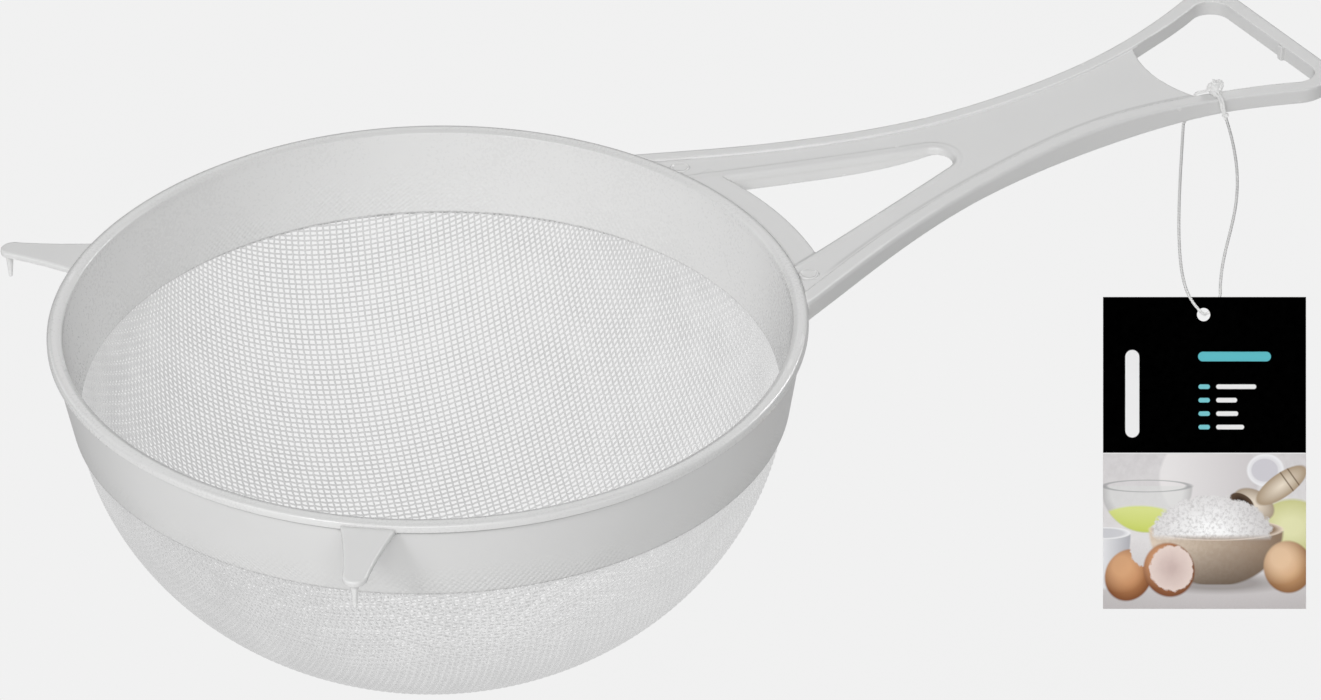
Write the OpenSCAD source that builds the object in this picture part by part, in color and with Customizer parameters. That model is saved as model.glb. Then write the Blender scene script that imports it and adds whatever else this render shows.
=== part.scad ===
// Hand-held round kitchen sieve with a forked flat handle, two bowl rests and a hang tag.
// Millimetres. Origin: centre of the rim circle, in the plane of the top of the rim.
// +Z up, out of the bowl's mouth. +X along the handle.

/* [Rim] */
// Outer radius of the rounded rim
rim_r = 100; // [90:1:115]
// Width of the rounded rim, seen from above
bead_w = 4; // [3.6:0.1:4.6]
// Height of the rounded rim's lip
bead_h = 2.4; // [2.2:0.1:3]
// Radius of the rim's two upper edges
bead_edge_r = 1.2; // [0.8:0.1:1.5]
// Depth of the outer band below the top of the rim
band_depth = 24.3; // [22:0.1:28]
// Depth of the inner liner below the top of the rim
liner_depth = 23; // [20:0.1:23.2]
// How far the band tapers in from top to bottom
band_taper = 4.2; // [3.5:0.1:5]

/* [Mesh bowl] */
// Depth of the bowl from the top of the rim to the bottom of the mesh
bowl_depth = 96.6; // [80:0.5:110]
// Thickness of the woven mesh sheet
mesh_t = 0.35; // [0.3:0.01:0.4]
// Depth of the bowl curve's widest level
belly_z = 16.4; // [12:0.1:20]

/* [Handle] */
// Half width of the fork where it leaves the rim
root_w = 38.2; // [36:0.1:42]
// Distance from the rim centre to the handle's waist
waist_x = 197.5; // [185:0.5:205]
// Half width of the handle at its waist
waist_w = 15.4; // [13:0.1:18]
// Distance from the rim centre to the handle's end
handle_end = 270.1; // [266:0.1:280]
// Half distance between the centres of the two end corners
corner_y = 20; // [18:0.1:22]
// Radius of the handle's outer end corners
corner_r = 10.1; // [9:0.1:12]
// Width of the rails along both edges
rail_w = 4.3; // [3.8:0.1:5]
// Thickness of the bar around the hang loop
loop_bar = 4.6; // [4:0.1:5.5]
// How far the web lies below the tops of the rails
web_drop = 0.6; // [0.4:0.1:1]
// Thickness of the web between the rails
web_t = 2.2; // [1.8:0.1:2.6]
// Where the fork's crotch ends
crotch_x = 160.9; // [150:0.1:168]
// Radius of the fork's crotch
crotch_r = 6; // [4:0.1:7]
// Slope of the two inner edges of the fork
fork_slope = 0.33; // [0.28:0.01:0.36]
// Width of the skirt under the fork's inner edges
skirt_w = 2; // [1.6:0.1:2.4]
// Radius of the crescent between the arms
crescent_r = 106.1; // [104:0.1:108]

/* [Bowl rests] */
// Angle between each rest and the handle's opposite side
rest_az = 51.2; // [40:0.1:60]
// Distance from the rim centre to a rest's tip
rest_tip_r = 123; // [116:0.5:128]
// Width of a rest where it leaves the rim
rest_root_w = 14.1; // [12:0.1:16]
// Width of a rest at its rounded tip
rest_tip_w = 6.4; // [5:0.1:8]
// Thickness of a rest
rest_t = 1.8; // [1.5:0.1:2.4]
// Downward slope of a rest, in degrees
rest_slope = 3.7; // [2:0.1:7]
// Depth of a rest's peg tip below the top of the rim
peg_z = 11.5; // [9:0.1:14]

/* [Hang tag] */
// Width of the card
tag_w = 55.2; // [50:0.1:60]
// Height of the card
tag_h = 84.8; // [75:0.1:90]
// Thickness of the card
tag_t = 0.4; // [0.3:0.05:0.6]
// Radius of the punched hole
tag_hole_r = 1.8; // [1.5:0.1:2.2]
// Distance from the hole's centre to the card's top edge
tag_hole_in = 4.8; // [4:0.1:6]
// Radius of the cord
cord_r = 0.4; // [0.35:0.01:0.45]

/* [Hidden] */
gap = 0.05;         // clearance between neighbouring nodes
round_sides = 180;  // sides of the large turned shapes

// ---------- shared functions ----------
// cubic curve between two stations, each [x, value, slope]
function cubic(x, from, to) =
    let (h = to[0] - from[0], t = (x - from[0]) / h)
    (2*t*t*t - 3*t*t + 1) * from[1] + (t*t*t - 2*t*t + t) * h * from[2]
    + (3*t*t - 2*t*t*t) * to[1] + (t*t*t - t*t) * h * to[2];
function span(from, to, steps) = [for (i = [0:steps]) from + (to - from) * i / steps];
function reversed(list) = [for (i = [len(list)-1:-1:0]) list[i]];
// a half outline followed by its mirror image across the x axis
function mirrored(half) = concat(half, [for (point = reversed(half)) [point[0], -point[1]]]);
function arc(centre, radius, from, to, steps) =
    [for (angle = span(from, to, steps)) centre + radius * [cos(angle), sin(angle)]];

// ---------- rim, band and mesh, as radius and depth ----------
lip_overhang = 1.2;   // the lip stands proud of the band
mesh_inset = 1.15;    // from the band's outside to the mesh's outside, at the band's lower edge
mesh_top = 3.1;       // depth of the mesh's upper edge
liner_t = 1.25;       // thickness of the liner at its lower edge
bowl_steps = 22;
bead_in = rim_r - bead_w;
band_top_r = rim_r - lip_overhang;
band_bot_r = band_top_r - band_taper;
band_top = bead_h + gap;
wall_slope = band_taper / (band_depth - bead_h - gap);

// outer radius of the mesh behind the band, at a depth
mesh_bot_r = band_bot_r - mesh_inset;
function mesh_out(depth) = mesh_bot_r + (band_depth - depth) * wall_slope;
function liner_out(depth) = mesh_out(depth) - mesh_t - gap;

// below the band the mesh is part of an ellipse centred at the belly level
bowl_half_h = bowl_depth - belly_z;
bowl_start = (band_depth - belly_z) / bowl_half_h;
bowl_half_w = mesh_bot_r / sqrt(1 - bowl_start*bowl_start);
function bowl_curve(inset) =
    [for (angle = span(asin(bowl_start), 90, bowl_steps))
        [max(0, (bowl_half_w - inset) * cos(angle)),
         -belly_z - (bowl_half_h - inset) * sin(angle)]];

module rim_ring() {
    edge_in = [bead_in + bead_edge_r, -bead_edge_r];
    edge_out = [rim_r - bead_edge_r, -bead_edge_r];
    liner_bot_r = liner_out(liner_depth);
    color("white") rotate_extrude($fn = round_sides)
        polygon(concat(
            [[bead_in, -bead_h]],
            arc(edge_in, bead_edge_r, 180, 90, 6),
            arc(edge_out, bead_edge_r, 90, 0, 6),
            [[rim_r, -bead_h],
             [liner_out(bead_h), -bead_h],
             [liner_bot_r, -liner_depth],
             [liner_bot_r - liner_t, -liner_depth]]));
}

module mesh_bowl() {
    color("gainsboro") rotate_extrude($fn = round_sides)
        polygon(concat(
            [[mesh_out(mesh_top), -mesh_top]],
            bowl_curve(0),
            reversed(bowl_curve(mesh_t)),
            [[mesh_out(mesh_top) - mesh_t, -mesh_top]]));
}

module band() {
    rotate_extrude($fn = round_sides) polygon([
        [mesh_out(band_top) + gap, -band_top],
        [band_top_r, -band_top],
        [band_bot_r, -band_depth],
        [mesh_out(band_depth) + gap, -band_depth]]);
}

// everything inside this turned shape belongs to the rim ring, the mesh or the open bowl
module bowl_void() {
    void_top = 12;
    void_depth = band_depth + 2;
    rotate_extrude($fn = round_sides) polygon([
        [0, void_top],
        [rim_r + gap, void_top],
        [rim_r + gap, -band_top],
        [mesh_out(band_top) + gap, -band_top],
        [mesh_out(void_depth) + gap, -void_depth],
        [0, -void_depth]]);
}

// ---------- handle plan, half width against distance from the rim centre ----------
start_x = 84;         // the arms start inside the rim and are trimmed by the bowl void
root_x = 105;
root_slope = -0.44;
flare_a = 24;         // direction of the outer edge where it meets the end corner
in_flare_a = 25;      // the same for the hang loop's opening
in_arc_skip = 12;     // the opening's corner arc starts this many degrees later
web_end_x = 231;      // where the rails' inner edges pass into the hang loop's opening
web_end_slope = 0.28;
web_cut_x = 236;      // the web's outline stops short of this
web_hollow_x = 227.8; // lowest point of the web's hollow end edge
web_hollow_r = 39;

corner = [handle_end - corner_r, corner_y];
in_corner_r = corner_r - loop_bar;
function flare_at(radius, angle) = corner + radius * [-sin(angle), cos(angle)];
flare = flare_at(corner_r, flare_a);
in_flare = flare_at(in_corner_r, in_flare_a);

root_station = [root_x, root_w, root_slope];
waist_station = [waist_x, waist_w, 0];
flare_station = [flare[0], flare[1], tan(flare_a)];
function outer_w(x) =
    x < root_x ? root_w + root_slope * (x - root_x)
    : x < waist_x ? cubic(x, root_station, waist_station)
    : cubic(x, waist_station, flare_station);
function outer_slope(x) = outer_w(x + 0.5) - outer_w(x - 0.5);
// inner edge of a rail
function step_w(x) = outer_w(x) - rail_w * sqrt(1 + pow(outer_slope(x), 2));

web_end_station = [web_end_x, step_w(web_end_x), web_end_slope];
in_flare_station = [in_flare[0], in_flare[1], tan(in_flare_a)];

arm_x = concat([start_x], span(root_x, waist_x, 13));
outer_half = concat(
    [for (x = arm_x) [x, outer_w(x)]],
    [for (i = [1:9]) let (x = waist_x + (flare[0] - waist_x) * i / 10) [x, outer_w(x)]],
    arc(corner, corner_r, 90 + flare_a, 0, 9));
step_half = concat(
    [for (x = arm_x) [x, step_w(x)]],
    [for (i = [1:4]) let (x = waist_x + (web_end_x - waist_x) * i / 4) [x, step_w(x)]]);
loop_half = concat(
    [for (x = span(web_end_x, in_flare[0], 5)) [x, cubic(x, web_end_station, in_flare_station)]],
    arc(corner, in_corner_r, 90 + in_flare_a - in_arc_skip, 0, 7));

// fork window: two straight edges running tangent into the crotch circle
function window(widen) =
    let (radius = crotch_r + widen,
         centre = [crotch_x - crotch_r, 0],
         fork_a = atan(fork_slope),
         tangent = centre + radius * [sin(fork_a), cos(fork_a)],
         open_x = start_x - 4,
         open_y = tangent[1] + (tangent[0] - open_x) * fork_slope)
    concat([[open_x, open_y]],
           arc(centre, radius, 90 - fork_a, -(90 - fork_a), 12),
           [[open_x, -open_y]]);

module rails_plan() {
    difference() {
        polygon(mirrored(outer_half));
        polygon(mirrored(concat(step_half, loop_half)));
    }
}

module web_plan() {
    difference() {
        polygon(mirrored([for (point = outer_half) if (point[0] < web_cut_x) point]));
        polygon(window(0));
        // hollow end edge of the web, facing the hang loop
        translate([web_hollow_x + web_hollow_r, 0]) circle(r = web_hollow_r, $fn = 96);
    }
}

module skirt_plan() {
    difference() {
        polygon(window(skirt_w));
        polygon(window(0));
    }
}

// ---------- handle side profile, height against distance from the rim centre ----------
// stations: x, z, slope
top_stations = [[100, -0.35, 0.005], [160, 0.7, 0.035], [200, 3.2, 0.055], [228, 4.1, 0.025]];
bottom_stations = [[100, -5.9, 0], [160, -4.2, 0.012], [200, -3.3, 0.05], [240, -0.1, 0.045]];
// slopes of the straight runs beyond the last stations
top_end_slope = 0.022;
bottom_end_slope = 0.024;
skirt_rise = 0.2;     // how far the skirt stops above the handle's underside

function profile(x, stations, end_slope) =
    x < stations[1][0] ? cubic(x, stations[0], stations[1])
    : x < stations[2][0] ? cubic(x, stations[1], stations[2])
    : x < stations[3][0] ? cubic(x, stations[2], stations[3])
    : stations[3][1] + end_slope * (x - stations[3][0]);

side_x = concat([start_x - 6, 100], span(112, 268, 13), [handle_end + 6]);
function top_edge(drop) = [for (x = side_x) [x, profile(x, top_stations, top_end_slope) - drop]];
function bottom_edge(rise) =
    [for (x = side_x) [x, profile(x, bottom_stations, bottom_end_slope) + rise]];

// side profile between two edges, wider than the handle
module side_slab(above, below) {
    rotate([90, 0, 0]) linear_extrude(height = 140, center = true)
        polygon(concat(above, reversed(below)));
}

// plan shape made taller than the whole handle
module tall() {
    translate([0, 0, -30]) linear_extrude(height = 60) children();
}

module handle() {
    intersection() {
        tall() rails_plan();
        side_slab(top_edge(0), bottom_edge(0));
    }
    intersection() {
        tall() web_plan();
        side_slab(top_edge(web_drop), top_edge(web_drop + web_t));
    }
    intersection() {
        tall() skirt_plan();
        side_slab(top_edge(web_drop), bottom_edge(skirt_rise));
    }
}

// crescent flange between the arms
crescent_z = -3.3;
crescent_t = 2.2;
crescent_half = [[60, -14.4], [110, -26]];
module crescent() {
    intersection() {
        translate([0, 0, crescent_z]) cylinder(h = crescent_t, r = crescent_r, $fn = round_sides);
        tall() polygon(mirrored(crescent_half));
    }
}

// low round discs at the roots of the arms
disc_at = [95.6, 32.8, -2.2];
disc_h = 1.55;
disc_r = 2.75;
module root_disc(side) {
    translate([disc_at[0], side * disc_at[1], disc_at[2]])
        cylinder(h = disc_h, r = disc_r, $fn = 48);
}

// ---------- bowl rest: tapered tongue with a rounded tip and a small peg below ----------
rest_top = 1.1;       // depth of the rest's upper face at the rim
peg_in = 2.3;         // from the rest's tip to the peg's axis
peg_top = 3.5;        // depth of the peg's upper end
peg_tip_r = 0.5;
peg_top_r = 1.15;
rest_tip_x = rest_tip_r - rest_tip_w/2;
rest_half = [
    [rim_r - 5, -rest_root_w/2 - 0.6],
    [rim_r, -rest_root_w/2],
    [rim_r + 9, -rest_root_w/2 + 2.1],
    [rest_tip_x, -rest_tip_w/2]];

module rest() {
    // the tongue slopes about its upper face at the rim
    translate([rim_r, 0, -rest_top]) rotate([0, rest_slope, 0]) translate([-rim_r, 0, -rest_t]) {
        linear_extrude(height = rest_t) {
            polygon(mirrored(rest_half));
            translate([rest_tip_x, 0]) circle(r = rest_tip_w/2, $fn = 48);
        }
    }
    translate([rest_tip_r - peg_in, 0, -peg_z])
        cylinder(h = peg_z - peg_top, r1 = peg_tip_r, r2 = peg_top_r, $fn = 32);
}

module frame() {
    color("whitesmoke") {
        band();
        difference() {
            union() {
                handle();
                crescent();
                for (side = [-1, 1]) rotate([0, 0, side * (180 - rest_az)]) rest();
                for (side = [-1, 1]) root_disc(side);
            }
            bowl_void();
        }
    }
}

// ---------- tag, in the card's own plane: x right, y up, z out of the printed face ----------
hole_at = [214.9, -44.33, -45.86];
card_turn = [58.4, 0, -30.75];
card_roll = -0.66;    // turn within the card's own plane
tag_shift = 0.25;     // the card's centre line lies this far right of the hole

module in_card() {
    translate(hole_at) rotate(card_turn) rotate([0, 0, card_roll]) children();
}

module swing_tag() {
    color("dimgray") in_card() difference() {
        translate([-tag_w/2 + tag_shift, tag_hole_in - tag_h, -tag_t/2])
            cube([tag_w, tag_h, tag_t]);
        translate([0, 0, -2]) cylinder(h = 4, r = tag_hole_r, $fn = 64);
    }
}

// ---------- cord ----------
// round tube along a path; the cross-section is carried along without twist
function unit(v) = v / norm(v);
function tangents(path) =
    let (last = len(path) - 1)
    [for (i = [0:last]) unit(path[min(i+1, last)] - path[max(i-1, 0)])];
function carry(along, normal, i = 0, done = []) =
    i == len(along) ? done
    : let (next = unit(normal - (normal*along[i])*along[i]))
      carry(along, next, i + 1, concat(done, [next]));

module tube(path, radius, sides = 8, first_normal = [0.2, 0.05, 0.97]) {
    last = len(path) - 1;
    along = tangents(path);
    normals = carry(along, first_normal);
    points = [for (i = [0:last], k = [0:sides-1]) let (angle = 360*k/sides)
        path[i] + radius*(cos(angle)*normals[i] + sin(angle)*cross(along[i], normals[i]))];
    walls = [for (i = [0:last-1], k = [0:sides-1])
        let (here = i*sides, ahead = here + sides, next = (k+1)%sides)
        [ahead + k, ahead + next, here + next, here + k]];
    ends = [[for (k = [0:sides-1]) k], [for (k = [sides-1:-1:0]) last*sides + k]];
    polyhedron(points = points, faces = concat(walls, ends), convexity = 6);
}

function bezier(ctrl, t) =
    pow(1-t,3)*ctrl[0] + 3*t*pow(1-t,2)*ctrl[1] + 3*t*t*(1-t)*ctrl[2] + t*t*t*ctrl[3];
function strand(ctrl) = [for (i = [0:16]) bezier(ctrl, i/16)];

// x, y, z in the card's frame; strands run from the top down to the hole
face_off = tag_t/2 + cord_r + 0.12;  // cord's centre line from the card's mid-plane
ease = 0.08;
right_ctrl = [[5.95, 54.0, -0.6], [14.2, 29, -0.6], [4.2, 22, -face_off], [4.6, 5.2, -face_off]];
left_ctrl = [[-5.45, 51.8, -0.7], [-6.6, 34, 1.0], [-8.2, 14, face_off + ease],
    [-4.2, 5.5, face_off]];
// the bight that threads the hole, from behind the card to its front
eye = [[3.6, 3.0, -face_off], [2.2, 1.25, -face_off], [1.1, 0.35, -face_off + ease],
    [0.55, 0.1, -0.35], [0.3, 0, 0], [0.05, 0.1, 0.35],
    [-0.5, 0.45, face_off - ease], [-1.7, 1.7, face_off], [-3.1, 3.5, face_off]];

module cord_loop() {
    color("snow") in_card()
        tube(concat(strand(right_ctrl), eye, reversed(strand(left_ctrl))), cord_r);
}

// fixed turn of cord round the rail on the -Y side, with its two knots
hitch_at = [235, -18.9, 1.95];
hitch_turn = -21.5;
hitch_r = 3.85;
// knots: centre, radius, sides
knots = [[[0, 1.95, 4.05], 1.6, 40], [[0.55, -3.6, -2.05], 0.6, 32]];
module cord_hitch() {
    color("snow") translate(hitch_at) rotate([0, 0, hitch_turn]) {
        rotate([0, 90, 0]) rotate_extrude($fn = 64)
            translate([hitch_r, 0]) circle(r = cord_r, $fn = 24);
        for (knot = knots) translate(knot[0]) sphere(r = knot[1], $fn = knot[2]);
    }
}

frame();
rim_ring();
mesh_bowl();
cord_hitch();
cord_loop();
swing_tag();
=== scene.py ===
"""A round sieve with a woven bowl, a forked handle and a card hanging from a cord.

The sieve's axis is Z, with the rim's top at z = 0 and the bowl below. The handle points
along +X, and two short rests stand out on the -X side. The cord is knotted to the loop at
the handle's end and hangs towards -Y. Shapes are in millimetres; the floor, lights and
camera are in metres.
"""
import math
from functools import reduce

import bpy
import numpy as np
from mathutils import Matrix, Vector


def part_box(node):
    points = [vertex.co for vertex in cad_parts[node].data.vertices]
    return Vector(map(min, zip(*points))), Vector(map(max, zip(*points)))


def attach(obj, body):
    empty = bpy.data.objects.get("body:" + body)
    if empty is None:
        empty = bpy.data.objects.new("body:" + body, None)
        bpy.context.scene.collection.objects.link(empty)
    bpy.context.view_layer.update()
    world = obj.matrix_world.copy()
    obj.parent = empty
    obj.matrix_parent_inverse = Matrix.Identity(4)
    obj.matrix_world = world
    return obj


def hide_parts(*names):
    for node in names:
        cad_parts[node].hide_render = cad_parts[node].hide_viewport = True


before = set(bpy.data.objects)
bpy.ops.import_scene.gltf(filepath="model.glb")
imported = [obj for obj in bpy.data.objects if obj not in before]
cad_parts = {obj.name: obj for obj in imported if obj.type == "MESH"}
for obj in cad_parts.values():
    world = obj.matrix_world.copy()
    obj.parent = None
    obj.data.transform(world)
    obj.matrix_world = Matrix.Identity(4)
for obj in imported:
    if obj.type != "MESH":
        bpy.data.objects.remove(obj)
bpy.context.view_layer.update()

MM = 0.001
scene = bpy.context.scene

# camera axes; the knots in the cord are laid out along them too
CAMERA_RIGHT = (0.8562920, -0.5163980, -0.0098543)
CAMERA_UP = (0.2778323, 0.4444505, 0.8516296)
CAMERA_FORWARD = (0.4354001, 0.7319814, -0.5240515)


# --------------------------------------------------------------------------
# vectors and meshes
# --------------------------------------------------------------------------
def unit(vectors):
    return vectors / np.linalg.norm(vectors, axis=-1, keepdims=True)


def turn_z(angle):
    """matrix of a turn about Z"""
    c, s = math.cos(angle), math.sin(angle)
    return np.array([[c, -s, 0], [s, c, 0], [0, 0, 1]])


def mesh_object(name, points, quads, material, smooth=True, sharp_deg=None):
    """object from points in millimetres and an (n, 4) array of faces"""
    mesh = bpy.data.meshes.new(name)
    count, corners = quads.shape
    mesh.vertices.add(len(points))
    mesh.vertices.foreach_set("co", (np.asarray(points, float) * MM).astype(np.float32).ravel())
    mesh.loops.add(count * corners)
    mesh.loops.foreach_set("vertex_index", quads.astype(np.int32).ravel())
    mesh.polygons.add(count)
    starts = np.arange(0, count * corners, corners, dtype=np.int32)
    mesh.polygons.foreach_set("loop_start", starts)
    mesh.update(calc_edges=True)
    mesh.validate()
    mesh.polygons.foreach_set("use_smooth", np.full(len(mesh.polygons), smooth))
    if sharp_deg is not None:
        mesh.set_sharp_from_angle(angle=math.radians(sharp_deg))
    mesh.materials.append(material)
    ob = bpy.data.objects.new(name, mesh)
    scene.collection.objects.link(ob)
    return ob


def register(ob, mover, cad_piece):
    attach(ob, mover)
    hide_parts(cad_piece)


def join_shells(shells):
    """one point array and one face array from several (points, quads)"""
    all_points, all_quads, count = [], [], 0
    for points, quads in shells:
        all_points.append(np.asarray(points, float))
        all_quads.append(np.asarray(quads) + count)
        count += len(points)
    return np.concatenate(all_points), np.concatenate(all_quads)


def grid_quads(rows, columns, closed):
    """quads between rows of points, each row a ring; closed joins the last row to the first"""
    row, column = np.arange(rows if closed else rows - 1)[:, None], np.arange(columns)[None, :]
    row2, column2 = (row + 1) % rows, (column + 1) % columns
    corners = ((row, column), (row2, column), (row2, column2), (row, column2))
    return np.stack([r * columns + c for r, c in corners], -1).reshape(-1, 4)


ROUND_STEPS = 384


def revolve(profile):
    """closed profile of (radius, z), anticlockwise with radius right and z up, turned about Z"""
    radius, z = profile.T[:, None, :]
    angle = (np.arange(ROUND_STEPS) * 2 * math.pi / ROUND_STEPS)[:, None]
    heights = np.broadcast_to(z, (ROUND_STEPS, len(profile)))
    points = np.stack([radius * np.cos(angle), radius * np.sin(angle), heights], -1)
    return points.reshape(-1, 3), grid_quads(ROUND_STEPS, len(profile), True)


def fillet(outline, steps):
    """closed outline of (x, y, corner radius) with its corners rounded"""
    corners = [np.array(row[:2], float) for row in outline]
    rounded = []
    for i, corner in enumerate(corners):
        radius = outline[i][2]
        before = unit(corners[i - 1] - corner)
        after = unit(corners[(i + 1) % len(corners)] - corner)
        angle = math.acos(max(-1, min(1, float(before @ after))))
        reach = radius / math.tan(angle / 2)
        centre = corner + unit(before + after) * (radius / math.sin(angle / 2))
        start, end = (
            math.atan2(*(corner + side * reach - centre)[::-1]) for side in (before, after)
        )
        sweep = (end - start + math.pi) % (2 * math.pi) - math.pi
        for k in range(steps + 1):
            a = start + sweep * k / steps
            rounded.append(centre + radius * np.array([math.cos(a), math.sin(a)]))
    return np.array(rounded)


def densify(profile, step):
    """extra points along the long straight runs of a closed outline"""
    dense = []
    for start, end in zip(profile, np.roll(profile, -1, 0)):
        count = max(1, int(math.ceil(np.linalg.norm(end - start) / step)))
        dense += [start + (end - start) * k / count for k in range(count)]
    return np.array(dense)


# --------------------------------------------------------------------------
# solids given by signed distance, negative inside
# --------------------------------------------------------------------------
def intersect(a, b, radius):
    """inside both, with the edge between them rounded"""
    inner = np.minimum(np.maximum(a + radius, b + radius), 0)
    return inner + np.hypot(np.maximum(a + radius, 0), np.maximum(b + radius, 0)) - radius


def unite(a, b, radius):
    """inside either, with the inner corner between them filled"""
    share = np.clip(0.5 + 0.5 * (b - a) / radius, 0, 1)
    return b + (a - b) * share - radius * share * (1 - share)


def inside_all(*distances):
    return reduce(np.maximum, distances)


BOX_WALL = 0.01      # least distance on the sampling box's sides, so the mesh is closed
PROBE = 0.03         # half step used to measure the slope of the distance
SLAB = 48            # grid layers evaluated at a time


def surface_nets(distance, low, high, spacing):
    """closed quad mesh of distance = 0 inside a box, its points moved onto the surface"""
    low, high = np.array(low, float), np.array(high, float)
    count = np.ceil((high - low) / spacing).astype(int) + 1
    axes = [low[k] + spacing * np.arange(count[k]) for k in range(3)]
    field = np.empty(tuple(count), np.float32)
    for i in range(0, count[0], SLAB):
        slab = np.meshgrid(axes[0][i:i + SLAB], axes[1], axes[2], indexing="ij")
        field[i:i + SLAB] = distance(*slab)
    for axis in range(3):
        for end in (0, -1):
            wall = np.moveaxis(field, axis, 0)[end]
            np.maximum(wall, BOX_WALL, out=wall)
    inside = field < 0

    # one point in each cell that the surface crosses, at the mean of its edge crossings
    corners = np.indices((2, 2, 2)).reshape(3, -1).T
    filled = np.zeros(tuple(count - 1), np.int8)
    for corner in corners:
        filled += inside[tuple(slice(c, n - 1 + c) for c, n in zip(corner, count))]
    cells = np.argwhere((filled > 0) & (filled < 8))
    index = np.full(tuple(count - 1), -1, np.int32)
    index[tuple(cells.T)] = np.arange(len(cells))
    values = np.stack([field[tuple((cells + c).T)] for c in corners], 1).astype(float)
    total, crossings = np.zeros((len(cells), 3)), np.zeros(len(cells))
    for a in range(8):
        for b in range(a + 1, 8):
            if np.abs(corners[a] - corners[b]).sum() != 1:
                continue
            at_a, at_b = values[:, a], values[:, b]
            crossed = (at_a < 0) != (at_b < 0)
            part = np.where(crossed, at_a / np.where(crossed, at_a - at_b, 1), 0)[:, None]
            total += (corners[a] + (corners[b] - corners[a]) * part) * crossed[:, None]
            crossings += crossed
    points = low + (cells + total / crossings[:, None]) * spacing

    # one quad round each grid edge that the surface crosses
    quads = []
    for axis in range(3):
        next1, next2 = (axis + 1) % 3, (axis + 2) % 3
        first, second = np.delete(inside, -1, axis), np.delete(inside, 0, axis)
        edges = np.argwhere(first != second)
        for k in (next1, next2):
            edges = edges[(edges[:, k] > 0) & (edges[:, k] < count[k] - 1)]
        inside_first = first[tuple(edges.T)]
        around = []
        for step1, step2 in ((-1, -1), (0, -1), (0, 0), (-1, 0)):
            cell = edges.copy()
            cell[:, next1] += step1
            cell[:, next2] += step2
            around.append(index[tuple(cell.T)])
        quad = np.stack(around, 1)
        quad[~inside_first] = quad[~inside_first][:, ::-1]
        quads.append(quad)

    for _ in range(4):
        slope = np.stack([
            distance(*(points + shift).T) - distance(*(points - shift).T)
            for shift in PROBE * np.eye(3)
        ], 1) / (2 * PROBE)
        off = distance(*points.T)[:, None]
        move = -off * slope / np.maximum((slope * slope).sum(1), 0.2)[:, None]
        length = np.linalg.norm(move, axis=1)
        points = points + move * np.minimum(1, 0.6 * spacing / np.maximum(length, 1e-9))[:, None]
    return points, np.concatenate(quads)


# --------------------------------------------------------------------------
# tubes and twisted cord along a path
# --------------------------------------------------------------------------
START_SIDE = np.array([0.31, 0.17, 0.93])    # any direction that no path starts along


def tangents(path, closed):
    if closed:
        return unit(np.roll(path, -1, 0) - np.roll(path, 1, 0))
    return unit(np.gradient(path, axis=0))


def carried_sides(along):
    """a direction across the path at each point, carried along without twist"""
    sides, side = np.zeros_like(along), START_SIDE
    for i, direction in enumerate(along):
        side = unit(side - (side @ direction) * direction)
        sides[i] = side
    return sides


def closing_angle(along, sides):
    """turn still missing between the last side and the first on a closed path"""
    last = unit(sides[-1] - (sides[-1] @ along[0]) * along[0])
    return math.atan2(float(np.cross(last, sides[0]) @ along[0]), float(last @ sides[0]))


def tube(path, radius, sides, normals=None, closed=False):
    """round tube with an even number of sides, capped unless closed"""
    path = np.asarray(path, float)
    count = len(path)
    along = tangents(path, closed)
    if normals is not None:
        across = unit(normals - (normals * along).sum(1)[:, None] * along)
    else:
        across = carried_sides(along)
        if closed:
            turn = (np.arange(count) / count * closing_angle(along, across))[:, None]
            across = across * np.cos(turn) + np.cross(along, across) * np.sin(turn)
    other = np.cross(along, across)
    angle = (np.arange(sides) * 2 * math.pi / sides)[None, :, None]
    spokes = np.cos(angle) * across[:, None] + np.sin(angle) * other[:, None]
    points = (path[:, None] + radius * spokes).reshape(-1, 3)
    quads = grid_quads(count, sides, closed)[:, [0, 3, 2, 1]]
    if not closed:
        # caps as quads that meet at a centre point
        centre, last = len(points), (count - 1) * sides
        points = np.concatenate([points, path[:1], path[-1:]])
        k = np.arange(0, sides, 2)
        k2 = (k + 2) % sides
        start_cap = np.stack([k * 0 + centre, k2, k + 1, k], 1)
        end_cap = np.stack([k * 0 + centre + 1, last + k, last + k + 1, last + k2], 1)
        quads = np.concatenate([quads, start_cap, end_cap])
    return points, quads


def bezier(controls, count):
    a, b, c, d = np.array(controls, float)
    t = np.linspace(0, 1, count)[:, None]
    return (1 - t) ** 3 * a + 3 * t * (1 - t) ** 2 * b + 3 * t**2 * (1 - t) * c + t**3 * d


def smooth_path(path, rounds):
    """cuts the corners of an open path, keeping its ends"""
    path = np.asarray(path, float)
    for _ in range(rounds):
        start, end = path[:-1], path[1:]
        cut = np.empty((2 * len(start), 3))
        cut[0::2], cut[1::2] = 0.75 * start + 0.25 * end, 0.25 * start + 0.75 * end
        path = np.concatenate([path[:1], cut[1:-1], path[-1:]])
    return path


def resample(path, step, closed):
    path = np.asarray(path, float)
    if closed:
        path = np.concatenate([path, path[:1]])
    lengths = np.linalg.norm(np.diff(path, axis=0), axis=1)
    travelled = np.concatenate([[0], np.cumsum(lengths)])
    count = max(4, int(round(travelled[-1] / step)))
    stops = np.linspace(0, travelled[-1], count + 1)
    even = np.stack([np.interp(stops, travelled, path[:, k]) for k in range(3)], 1)
    return even[:-1] if closed else even


PLIES, PLY_STEP, PLY_LAY = 3, 0.28, 2.4      # PLY_LAY is the length of one full twist


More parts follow.
